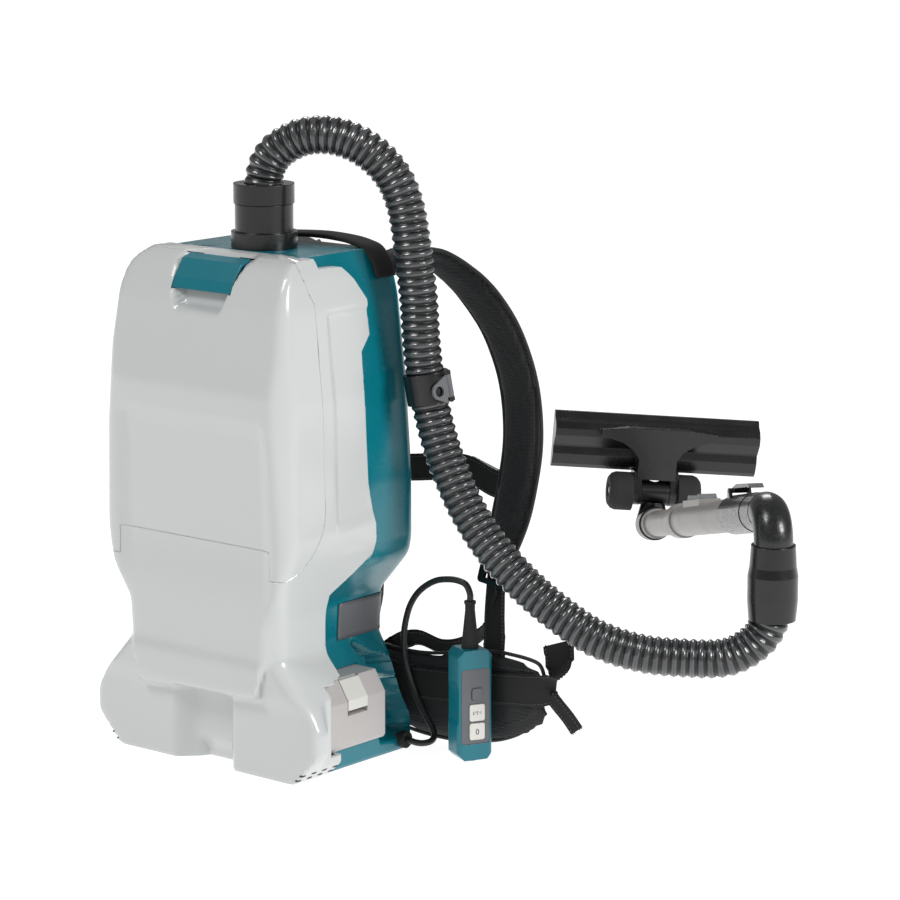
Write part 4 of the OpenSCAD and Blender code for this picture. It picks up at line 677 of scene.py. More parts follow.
# --------------------------------------------------------------------------
# Soft goods
# --------------------------------------------------------------------------
def stuffed(obj: bpy.types.Object, voxel: float, cap: float, pressure: float = 4.0) -> bpy.types.Object:
    """Fill a closed shape like a padded cover and keep the result.

    Args:
        obj: the shape.
        voxel: the remesh size, in metres.
        cap: how far a point may move, in metres.
        pressure: the cloth's inner pressure.

    Returns:
        The same object with its new mesh.
    """
    looks = list(obj.data.materials)
    modified(obj, "REMESH", mode="VOXEL", voxel_size=voxel, use_smooth_shade=True)
    base = [v.co.copy() for v in obj.data.vertices]
    mod = obj.modifiers.new("cloth", "CLOTH")
    mod.settings.use_pressure = True
    mod.settings.uniform_pressure_force = pressure
    mod.settings.quality = 5
    mod.settings.effector_weights.gravity = 0
    mod.point_cache.frame_start, mod.point_cache.frame_end = 1, CLOTH_FRAMES
    scene = bpy.context.scene
    for number in range(1, CLOTH_FRAMES + 1):
        scene.frame_set(number)
    swollen = obj.evaluated_get(bpy.context.evaluated_depsgraph_get()).data
    moved = [v.co.copy() for v in swollen.vertices]
    obj.modifiers.clear()
    scene.frame_set(1)
    drift = sum(((b - a) for a, b in zip(base, moved)), Vector()) / len(base)
    for vertex, a, b in zip(obj.data.vertices, base, moved):
        step = b - a - drift
        vertex.co = a + (step if step.length < cap else step.normalized() * cap)
    modified(obj, "SMOOTH", factor=0.5, iterations=2)
    modified(obj, "SUBSURF", levels=1, render_levels=1)
    obj.data.materials.clear()
    for look in looks:
        obj.data.materials.append(look)
    obj.data.shade_smooth()
    return obj


def sewn(obj: bpy.types.Object, lines: Sequence[Sequence[Vector]], depth: float,
        reach: float) -> bpy.types.Object:
    """Draw a padded piece in along seams.

    Args:
        obj: the piece.
        lines: the seams, in millimetres.
        depth: how far the cover is drawn in, in millimetres.
        reach: half width of the furrow, in millimetres.

    Returns:
        The same object.
    """
    dots = [p for line in lines for p in evenly(line, max(8, int(length_of(line) / 1.5)))]
    tree = KDTree(len(dots))
    for k, p in enumerate(dots):
        tree.insert(Vector(p) * MM, k)
    tree.balance()
    normals = [v.normal.copy() for v in obj.data.vertices]
    for vertex, normal in zip(obj.data.vertices, normals):
        gap = tree.find(vertex.co)[2] / (reach * MM)
        if gap < 2.5:
            vertex.co -= normal * depth * MM * math.exp(-gap * gap)
    return obj


def node(name: str) -> bpy.types.Object:
    """Return a CAD node's object."""
    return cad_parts[name]


def dress(coat: Coat, *names: str) -> None:
    """Give CAD nodes a finish."""
    for name in names:
        mesh = node(name).data
        mesh.materials.clear()
        mesh.materials.append(coat.look)
        for face in mesh.polygons:
            face.material_index = 0


# --------------------------------------------------------------------------
# Studio
# --------------------------------------------------------------------------
@dataclass
class Studio:
    """Camera, floor and soft lights."""

    eye: Point = (1.9802, -2.1472, 0.8358)
    turn: float = 39.5
    dip: float = 11.1
    lens: float = 137.6

    def camera(self) -> None:
        """Stand the camera at its eye point, turned and dipped."""
        a, p = math.radians(self.turn), math.radians(self.dip)
        ahead = Vector((-math.sin(a) * math.cos(p), math.cos(a) * math.cos(p), -math.sin(p)))
        data = bpy.data.cameras.new("camera")
        data.lens, data.sensor_width = self.lens, 36.0
        data.clip_end = 50.0
        obj = bpy.data.objects.new("camera", data)
        obj.location = self.eye
        obj.rotation_euler = ahead.to_track_quat("-Z", "Y").to_euler()
        bpy.context.scene.collection.objects.link(obj)
        bpy.context.scene.camera = obj

    def light(self, name: str, place: Point, aim: Point, size: float, power: float) -> None:
        """Add a square soft light."""
        data = bpy.data.lights.new(name, "AREA")
        data.shape, data.size, data.energy = "SQUARE", size, power
        obj = bpy.data.objects.new(name, data)
        obj.location = place
        obj.rotation_euler = (Vector(aim) - Vector(place)).to_track_quat("-Z", "Y").to_euler()
        bpy.context.scene.collection.objects.link(obj)

    def build(self) -> None:
        """Make the studio."""
        self.camera()
        mesh = bpy.data.meshes.new("floor")
        mesh.from_pydata([(x * FLOOR_HALF, y * FLOOR_HALF, 0) for x,
            y in ((-1, -1), (1, -1), (1, 1), (-1, 1))], [], [(0, 1, 2, 3)])
        sh = Shader("floor_pale")
        mesh.materials.append(sh.finish(Base_Color=(0.2, 0.2, 0.2, 1), Roughness=0.9,
            Emission_Color=(1, 1, 1, 1),
            Emission_Strength=0.96))
        floor = bpy.data.objects.new("floor", mesh)
        bpy.context.scene.collection.objects.link(floor)
        world = bpy.data.worlds.new("studio")
        world.use_nodes = True
        world.node_tree.nodes["Background"].inputs[0].default_value = (1, 1, 1, 1)
        world.node_tree.nodes["Background"].inputs[1].default_value = 0.22
        bpy.context.scene.world = world
        bpy.context.scene.view_settings.view_transform = "Standard"
        self.light("key", (-0.7, -1.9, 2.9), (0.1, 0, 0.3), 1.1, 46)
        self.light("side", (2.6, 0.3, 1.5), (0.1, 0.1, 0.25), 0.9, 46)
        self.light("rim", (-1.4, 2.0, 2.2), (0, 0, 0.3), 1.0, 24)


# --------------------------------------------------------------------------
# Hose and cord
# --------------------------------------------------------------------------
@dataclass
class SuctionHose:
    """The ribbed hose from the inlet to the handle's cuff."""

    radius: float = 16.7
    depth: float = 2.1
    ribs: int = 110
    route: tuple[Point, ...] = (
        (0, 5.5, 461), (0, 5.5, 478), (0, 5.5, 496), (3, 7, 510), (10, 10, 521), (20, 15, 529),
            (32, 21, 535),
        (46, 28, 537), (61, 36, 535), (77, 44, 528), (92, 51, 516), (104, 57, 499), (112, 60, 478),
            (117, 61, 454),
        (120, 62, 431), (123, 64, 399), (125, 65, 365), (127, 67, 338), (132, 69, 309), (141, 70, 279),
        (154, 70, 251), (171, 71, 222), (193, 74, 194), (221, 80, 167), (252, 89, 143), (286, 102, 122),
        (321, 120, 111), (354, 142, 108), (376, 156, 109), (390, 166, 115), (402, 175, 127),
            (408.5, 179.7, 142),
        (410, 181, 158), (410, 181, 174), (410, 181, 190))

    def paint_crest_highlights(self, hose: bpy.types.Object, line: Sequence[Vector]) -> None:
        """Give the ribs' tops a lighter, glossier finish than the grooves: painted highlight on the crests,
        painted shade in the grooves.

        Args:
            hose: the ribbed tube.
            line: its middle line, in millimetres.
        """
        dots = evenly(line, 2400)
        tree = KDTree(len(dots))
        for k, p in enumerate(dots):
            tree.insert(p * MM, k)
        tree.balance()
        # second finish: the lighter crest colour is painted highlight
        hose.data.materials.append(Coat.CREST_HIGHLIGHT.look)
        edge = (self.radius - self.depth * 0.5) * MM
        for face in hose.data.polygons:
            # faces out on the ribs' tops get the painted highlight finish; the grooves keep the near-black
            # painted shade finish
            face.material_index = int(tree.find(face.center)[2] > edge)

    def build(self) -> None:
        line = spline(self.route)
        hose = ribbed_tree(Coat.HOSE).run("suction_hose", line, Coat.HOSE, "vacuum", Ribs=self.ribs,
            Radius=self.radius * MM, Depth=self.depth * MM)
        self.paint_crest_highlights(hose, line)
        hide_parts("hose")
        LOG.info("hose: %.0f mm, %d triangles", length_of(line), 2 * len(hose.data.polygons))


@dataclass
class RemoteCord:
    """The thin cord from the housing's foot to the remote control."""

    radius: float = 2.8
    route: tuple[Point, ...] = (
        (103, 66, 9), (107, 66, 9), (111, 66, 9), (118, 67.5, 8), (123, 71, 8), (125.5, 77, 9),
            (124, 83, 12),
        (118.5, 87, 17.5), (111, 88.5, 25), (104, 89, 34), (97, 89, 45), (91, 89, 57), (86.5, 89, 70),
            (84.5, 89, 84),
        (85, 88.5, 98), (89, 87, 112), (96, 84, 125), (106, 81, 137), (119, 78, 147), (134, 75, 154.5),
            (149, 73, 158),
        (160, 72.3, 158.5), (168, 72.8, 156), (172, 73.3, 148.5), (172, 73.3, 142.5), (172, 73.3, 138.5))

    def build(self) -> None:
        line = evenly(spline(self.route), 150)
        cord = tube("control_cord", line, self.radius, Coat.CORD, sides=20)
        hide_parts("remote_cord")
        LOG.info("cord: %.0f mm", length_of(line))


# --------------------------------------------------------------------------
# Housing
# --------------------------------------------------------------------------
def step(value: float, start: float, end: float) -> float:
    """Return a smooth rise from 0 at start to 1 at end."""
    t = max(0.0, min(1.0, (value - start) / (end - start)))
    return t * t * (3 - 2 * t)


@lru_cache(maxsize=None)
def read_off(table: Sequence[tuple[float, float]], z: float, blur: float = 5.0) -> float:
    """Return a profile's value at a height, its corners softened.

    Args:
        table: (value, height) pairs, rising.
        z: the height, in millimetres.
        blur: half the height that is averaged.

    Returns:
        The softened value.
    """
    def plain(h: float) -> float:
        h = max(table[0][1], min(table[-1][1], h))
        for (a, h0), (b, h1) in zip(table, table[1:]):
            if h <= h1:
                return a if h1 == h0 else a + (b - a) * (h - h0) / (h1 - h0)
        return table[-1][0]
    reach = min(blur, (table[-1][1] - z) / 2 + 0.01)
    return sum(plain(z + reach * k / 3) for k in range(-3, 4)) / 7


def inside(shape: Sequence[tuple[float, float]], a: float, b: float) -> bool:
    """Return whether the point (a, b) is inside a closed outline."""
    hit = False
    for (a0, b0), (a1, b1) in zip(shape, list(shape[1:]) + [shape[0]]):
        if (b0 > b) != (b1 > b) and a < (a1 - a0) * (b - b0) / (b1 - b0) + a0:
            hit = not hit
    return hit


@dataclass
class Shells:
    """The moulded outside of the housing: front shell, lid and rear shell, with soft corners."""

    height: float = 440
    softness: float = 64.0
    turns: int = 260
    white_x: tuple[tuple[float, float], ...] = (
        (102, 0), (130, 26), (130, 48), (120, 66), (88, 102), (88, 136), (96, 162), (105, 190),
            (108.5, 212),
        (106, 320), (98, 401), (92, 427), (83, 440))
    teal_x: tuple[tuple[float, float], ...] = (
        (102, 0), (102, 28), (92, 42), (78, 78), (65.5, 100), (68, 137), (101, 174), (104, 188), (104, 245),
        (98, 330), (89, 400), (83, 421), (74, 440))
    front_y: tuple[tuple[float, float], ...] = (
        (-85, 0), (-85, 64), (-89, 72), (-89, 200), (-92, 300), (-91, 330), (-79, 402), (-71, 420),
            (-61, 434),
        (-46, 440))
    rear_y: tuple[tuple[float, float], ...] = ((86.4, 0), (86.4, 420), (79, 435), (62, 440))
    corner: tuple[tuple[float, float], ...] = (
        (184, 0), (206, 26), (206, 48), (195, 66), (161, 102), (163, 138), (183, 168), (185, 176),
            (188, 200), (186, 290),
        (180, 358), (170, 405), (156, 440))
    rear_line: tuple[tuple[float, float], ...] = (
        (-30, 0), (-30, 80), (-18, 84), (-18, 152), (8, 168), (27, 182), (28.6, 194), (18.6, 245),
            (16, 327),
        (17, 358), (28.5, 371), (27, 402), (15, 420), (4, 431), (-24, 432), (-24, 441))
    lid_line: tuple[tuple[float, float], ...] = ((-40, 200), (-40, 404), (-48, 426), (-48, 441))
    tab_line: tuple[tuple[float, float], ...] = (
        (-100, 176), (-80, 176.5), (-70, 180), (-61, 187), (-53, 196), (-46, 208), (-41.5, 220), (-40, 232))
    tab_x: float = 87
    rim: float = 0.7
    bay: tuple[float, float, float, float] = (-42.6, 34.6, 19.2, 79.4)

    def width(self, half: Sequence[tuple[float, float]], y: float, z: float) -> float:
        """Return the half width at a depth and height, with the recesses of the side."""
        x = read_off(half, z)
        if half is self.white_x:
            x -= 2.2 * step(y, -26, -22) * step(z, 398, 392) * step(z, 205, 225)
            x -= (x - 115.5) * step(y, -62, -50) if x > 115.5 else 0
        else:
            x -= 17 * step(y, 35, 44) * step(y, 78, 68) * step(z, 10, 19) * step(z, 102 - 0.6 * (y - 36),
                88 - 0.6 * (y - 36))
        return x

    def front(self, x: float, z: float) -> float:
        """Return the front face's place at a width and height: apron, crease and foot arch."""
        y = read_off(self.front_y, z)
        side = abs(x)
        lean = step(side, 90 - (z - 245) * 0.05, 76)
        y += 5.6 * step(z, 311, 294) * lean * step(z, 92,
            110) * (1 if z > 200 else 0.4 + 0.6 * step(z, 150, 200))
        if z < 160:
            border = 71 + (z - 71) * 0.22
            apron = step(side, border + 5, border - 3) * step(z, 63 + 0.05 * x, 70 + 0.05 * x)
            y += 7 * (1 - apron) * step(z, 160, 118)
        y += 14 * step(side, 37, 19) * step(z, 70, 62)
        y += 9 * step(side, 21, 17) * step(z, 24, 4)
        y += 10 * step(side, 29 + (z - 400) * 0.3, 23 + (z - 400) * 0.3) * step(z, 393, 400)
        return y

    def radius(self, half: Sequence[tuple[float, float]], angle: float, z: float) -> float:
        """Return the outside's distance from the axis at an angle and height."""
        c, s = math.cos(angle), math.sin(angle)
        r = 100.0
        for _ in range(4):
            x, y = r * c, r * s
            limits = [abs(c) / self.width(half, y, z)]
            limits.append(-s / -self.front(x, z) if s < 0 else s / read_off(self.rear_y, z))
            if s < 0:
                limits.append((abs(c) - s) / read_off(self.corner, z))
            else:
                limits.append((abs(c) + s) / (self.width(half, y, z) + read_off(self.rear_y, z) - 9))
            r = sum(v ** self.softness for v in limits if v > 0) ** (-1 / self.softness)
        return r

    def skin(self, half: Sequence[tuple[float, float]]) -> bmesh.types.BMesh:
        """Return the closed outside for one outline, in millimetres."""
        levels = [0.0, 1.0, 2.5] + [4.0 + 2.4 * k for k in range(int((self.height - 12) / 2.4))]
        levels = [z for z in levels if z < 428] + [428, 430, 432, 434, 436, 437.5, 438.7, 439.5, 440]
        bm = bmesh.new()
        rings = []
        for z in levels:
            ring = []
            for k in range(self.turns):
                a = 2 * math.pi * (k + 0.5) / self.turns
                r = self.radius(half, a, z) - (1.6 * step(z, 2.5, 0))
                ring.append(bm.verts.new((r * math.cos(a), r * math.sin(a), z)))
            rings.append(ring)
        for low, high in zip(rings, rings[1:]):
            for k in range(self.turns):
                j = (k + 1) % self.turns
                bm.faces.new((low[k], low[j], high[j], high[k]))
        for ring, flip in ((rings[0], True), (rings[-1], False)):
            z = ring[0].co.z
            inner, last = [bm.verts.new((v.co.x * 0.5, v.co.y * 0.5, z)) for v in ring], bm.verts.new((0,
                0, z))
            for k in range(self.turns):
                j = (k + 1) % self.turns
                quad, tri = (ring[k], ring[j], inner[j], inner[k]), (inner[k], inner[j], last)
                bm.faces.new(quad[::-1] if flip else quad)
                bm.faces.new(tri[::-1] if flip else tri)
        return bm

    def cut(self, bm: bmesh.types.BMesh, a: tuple[float, float], b: tuple[float, float]) -> None:
        """Add edges where a plane through two points of the side view crosses, near those points only."""
        low = (min(a[0], b[0]) - 6, min(a[1], b[1]) - 6)
        high = (max(a[0], b[0]) + 6, max(a[1], b[1]) + 6)
        near = [f for f in bm.faces
                if any(low[0] <= v.co.y <= high[0] and low[1] <= v.co.z <= high[1] for v in f.verts)]
        self.slice(bm, near, (0, a[0], a[1]), (0, b[1] - a[1], a[0] - b[0]))

    def slice(self, bm: bmesh.types.BMesh, faces: Sequence[bmesh.types.BMFace], at: Point,
            normal: Point) -> None:
        """Add edges where a plane crosses some faces."""
        parts = list(faces) + list({e for f in faces for e in f.edges})
        parts += list({v for f in faces for v in f.verts})
        bmesh.ops.bisect_plane(bm, geom=parts, dist=1e-4, plane_co=at, plane_no=normal)

    def keep(self, bm: bmesh.types.BMesh, test: Callable[[Vector], bool]) -> None:
        """Delete the faces whose middle fails a test."""
        gone = [f for f in bm.faces if not test(f.calc_center_median())]
        bmesh.ops.delete(bm, geom=gone, context="FACES")

    def in_lid(self, p: Vector) -> bool:
        """Return whether a point belongs to the lid."""
        foot = ((-200, 176), *self.tab_line) if abs(p.x) > self.tab_x else ((-200, 200), (-40, 200))
        return inside([*foot, *self.lid_line[1:], (-200, 441)], p.y, p.z)

    def in_rear(self, p: Vector) -> bool:
        """Return whether a point belongs to the rear shell."""
        return inside([*self.rear_line, (200, 441), (200, -1), (-30, -1)], p.y, max(0.01, min(440.9, p.z)))

    def in_bay(self, p: Vector) -> bool:
        """Return whether a point is in a battery window."""
        y0, y1, z0, z1 = self.bay
        return abs(p.x) > 60 and y0 < p.y < y1 and z0 < p.z < z1

    def edge(self, bm: bmesh.types.BMesh, depth: float) -> None:
        """Turn every open edge inwards: a fine rolled rim, then a flange."""
        bmesh.ops.remove_doubles(bm, verts=bm.verts, dist=0.02)
        bm.normal_update()
        bmesh.ops.inset_region(bm, faces=list(bm.faces), thickness=self.rim, depth=0, use_boundary=True,
            use_even_offset=True)
        bm.normal_update()
        rim = [e for e in bm.edges if e.is_boundary]
        normals = {v: v.normal.copy() for e in rim for v in e.verts}
        for v, n in normals.items():
            v.co -= n * self.rim
        made = bmesh.ops.extrude_edge_only(bm, edges=rim)["geom"]
        for face in (g for g in made if isinstance(g, bmesh.types.BMFace)):
            at = face.calc_center_median()
            # flange walls at the front seams get the dark rubber finish: painted shade in the seam gaps
            face.material_index = int(at.y < -36 and at.z > 170)
        middle = Vector((0, 0, 230))
        for v in (g for g in made if isinstance(g, bmesh.types.BMVert)):
            if v.co.y < -74 and 100 < v.co.z < 205 and abs(v.co.x) > 40:
                v.co.y += 6
            elif abs(v.co.x) > 40:
                v.co.x -= math.copysign(depth, v.co.x)
            else:
                flow = Vector((0, middle.y - v.co.y, middle.z - v.co.z)).normalized()
                v.co += flow * min(depth, 6)

    def surface_x(self, half: tuple[tuple[float, float], ...], y: float, z: float) -> float:
        """Return how far the side stands out at a depth and height."""
        low, high = (0.0, math.pi / 2) if y >= 0 else (-math.pi / 2, 0.0)
        for _ in range(18):
            a = (low + high) / 2
            if self.radius(half, a, z) * math.sin(a) < y:
                low = a
            else:
                high = a
        return self.radius(half, low, z) * math.cos(low)

    def label(self) -> None:
        """Lay a blank plate on the rear shell's waist."""
        bm = bmesh.new()
        rows = [[bm.verts.new((self.surface_x(self.teal_x, 21 + 60 * i / 12, 100.5 + 33 * k / 8) + 0.5,
            21 + 60 * i / 12, 100.5 + 33 * k / 8)) for i in range(13)] for k in range(9)]
        for a, b in zip(rows, rows[1:]):
            for i in range(12):
                bm.faces.new((a[i], a[i + 1], b[i + 1], b[i]))
        for v in bm.verts:
            v.co *= MM
        mesh = bpy.data.meshes.new("label_plate")
        bm.to_mesh(mesh)
        bm.free()
        mesh.materials.append(Coat.GREY.look)
        mesh.shade_smooth()
        obj = bpy.data.objects.new("label_plate", mesh)
        bpy.context.scene.collection.objects.link(obj)
        modified(obj, "SOLIDIFY", thickness=0.0006, offset=1)
        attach(obj, "vacuum")

    def exhaust(self) -> None:
        """Lay two rows of dark bars on the lower outer corner of each front foot: painted shade standing in
        for the open exhaust slots.
        """
        slot_shade_bars = bar_tree(Coat.INK)
        for side in (-1, 1):
            for z in (4.0, 9.0):
                row = [Vector((side * (self.surface_x(self.white_x, y, z) - 0.7), y,
                    z)) for y in range(-74, -33, 4)]
                # dark ink bars in place of holes: painted shade of the exhaust slots
                made = slot_shade_bars.run(f"exhaust_slots_{side + 1}_{z:.0f}", row, Coat.INK, "vacuum", Count=4)

    def shell(self, name: str, bm: bmesh.types.BMesh, coat: Coat, body: str, target: str,
              depth: float = 22) -> bpy.types.Object:
        """Finish one shell: rims, shading and finish; the CAD node it replaces is hidden."""
        self.edge(bm, depth)
        for v in bm.verts:
            v.co *= MM
        mesh = bpy.data.meshes.new(name)
        bm.to_mesh(mesh)
        bm.free()
        mesh.materials.append(coat.look)
        # second finish, dark rubber on the front seam flanges: painted shade
        mesh.materials.append(Coat.RUBBER.look)
        mesh.shade_smooth()
        mesh.set_sharp_from_angle(angle=math.radians(42))
        obj = bpy.data.objects.new(name, mesh)
        bpy.context.scene.collection.objects.link(obj)
        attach(obj, body)
        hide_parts(target)
        LOG.info("%s: %d faces", name, len(mesh.polygons))
        return obj

    def build(self) -> None:
        """Make the three shells."""
        white = self.skin(self.white_x)
        for a, b in zip(self.rear_line, self.rear_line[1:]):
            self.cut(white, a, b)
        for a, b in (((-120, 200), (-60, 200)), *zip(self.lid_line, self.lid_line[1:]),
                *zip(self.tab_line, self.tab_line[1:])):
            self.cut(white, a, b)
        y0, y1, z0, z1 = self.bay
        for side in (-1, 1):
            low = [f for f in white.faces
                   if 150 < f.calc_center_median().z < 215 and f.calc_center_median().y < -40]
            self.slice(white, low, (side * self.tab_x, 0, 0), (1, 0, 0))
        self.cut(white, (y0, z0 - 8), (y0, z1 + 8))
        self.cut(white, (y0 - 8, z0), (y1 + 8, z0))
        self.cut(white, (y0 - 8, z1), (y1 + 8, z1))
        for at, normal in (((-34.4, 0, 0), (1, 0, 0)), ((34.4, 0, 0), (1, 0, 0)),
                ((0, 0, 410.7), (0, 0, 1))):
            latch = [f for f in white.faces
                     if f.calc_center_median().z > 395 and f.calc_center_median().y < -30
                     and abs(f.calc_center_median().x) < 50]
            self.slice(white, latch, at, normal)
        lid = white.copy()
        hole = lambda p: abs(p.x) < 34.4 and p.z > 410.7 and p.y < -47.5
        self.keep(lid, lambda p: self.in_lid(p) and not hole(p))
        self.keep(white, lambda p: not self.in_lid(p) and not self.in_rear(p) and not self.in_bay(p))
        rear = self.skin(self.teal_x)
        for a, b in zip(self.rear_line, self.rear_line[1:]):
            self.cut(rear, a, b)
        for a, b in (((y1, z0 - 8), (y1, z1 + 8)), ((y0 - 8, z0), (y1 + 8, z0)),
                ((y0 - 8, z1), (y1 + 8, z1))):
            self.cut(rear, a, b)
        self.keep(rear, lambda p: self.in_rear(p) and not self.in_bay(p))
        self.shell("lid_shell", lid, Coat.SHELL, "lid", "front_lid", 12)
        self.shell("front_shell", white, Coat.SHELL, "vacuum", "front_housing")
        self.shell("rear_shell", rear, Coat.TEAL, "vacuum", "rear_housing", 14)
        self.label()
        self.exhaust()


@dataclass
class Housing:
    """Inner parts of the housing and their small trim."""

    def build(self) -> None:
        """Dress the housing's nodes."""
        dress(Coat.TEAL_TRIM, "lid_latch")
        dress(Coat.SATIN, "inlet_collar", "hose_coupling", "battery_tray", "fan_housing")
        dress(Coat.GREY, "filter_deck")
        dress(Coat.PACK, "battery_left", "battery_right")
        dress(Coat.CREAM, "release_button_left", "release_button_right")
        dress(Coat.STEEL, "lid_hinge_pins", "latch_pin", "impeller", "motor_case", "motor_shaft",
            "motor_bearings",
            "housing_screws", "nozzle_axle")
        dress(Coat.COPPER, "battery_terminals")
        dress(Coat.BOARD, "circuit_board")
        dress(Coat.PAPER, "dust_bag", "main_filter")
        dress(Coat.RUBBER, "lid_gasket", "motor_mounts", "rubber_feet")
        LOG.info("housing dressed")


# --------------------------------------------------------------------------
# Handle, wand and nozzle
# --------------------------------------------------------------------------
@dataclass
class Wand:
    """Handle pipe, its lever, the telescopic wand and the cuff."""

    def build(self) -> None:
        """Dress the nodes."""
        dress(Coat.HANDLE, "handle_pipe", "lock_lever")
        dress(Coat.SATIN, "hose_cuff", "hose_band")
        dress(Coat.WAND, "wand_outer", "wand_inner")
        dress(Coat.GREY, "wand_lock_button", "band_plate")
        LOG.info("wand dressed")


@dataclass
class Nozzle:
    """Floor nozzle with its swivel and rollers."""

    def build(self) -> None:
        """Dress the nodes."""
        dress(Coat.SATIN, "nozzle_elbow", "nozzle_neck", "nozzle_body")
        dress(Coat.RUBBER, "wheel_left", "wheel_right", "nozzle_sole")
        LOG.info("nozzle dressed")


# --------------------------------------------------------------------------
# Remote control
# --------------------------------------------------------------------------
@dataclass
class Remote:
    """The corded control with its three keys."""

    at: Point = (172, 73.3, 53)
    turn: float = 63.5
    face: float = -12.1

    def frame(self, x: float, z: float, proud: float) -> Matrix:
        """Return a frame on the panel, X to its right, Z out of it, in millimetres."""
        base = Matrix.Translation(self.at) @ Matrix.Rotation(math.radians(self.turn), 4, "Z")
        return base @ Matrix.Translation((x, self.face - proud, z)) @ Matrix.Rotation(math.pi / 2, 4, "X")

    def mark(self, name: str, words: str, size: float, place: Matrix, body: str, coat: Coat) -> None:
        """Set plain figures on a key, upside down as the control hangs."""
        data = bpy.data.curves.new(name, "FONT")
        data.body, data.size, data.extrude = words, size * MM, 0.00008
        data.align_x, data.align_y = "CENTER", "CENTER"
        holder = bpy.data.objects.new(name + "_text", data)
        bpy.context.scene.collection.objects.link(holder)
        bpy.context.view_layer.update()
        mesh = bpy.data.meshes.new_from_object(holder.evaluated_get(bpy.context.evaluated_depsgraph_get()))
        bpy.data.objects.remove(holder)
        lift = Matrix.Scale(MM, 4) @ place @ Matrix.Rotation(math.pi, 4, "Z") @ Matrix.Scale(1 / MM, 4)
        mesh.transform(lift)
        mesh.materials.clear()
        mesh.materials.append(coat.look)
        obj = bpy.data.objects.new(name, mesh)
        bpy.context.scene.collection.objects.link(obj)
        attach(obj, body)

    def build(self) -> None:
        """Dress the control and mark its keys."""
        dress(Coat.TEAL_TRIM, "remote_case")
        dress(Coat.PANEL, "remote_panel", "key_light")
        dress(Coat.CREAM, "key_speed", "key_stop")
        dress(Coat.RUBBER, "remote_boot", "cord_gland")
        self.mark("figure_stop", "0", 7, self.frame(1, -23, 1.25), "stop_key", Coat.INK)
        self.mark("figures_speed", "1-2-3", 4, self.frame(1, -6.4, 1.25), "speed_key", Coat.INK)
        LOG.info("remote dressed")


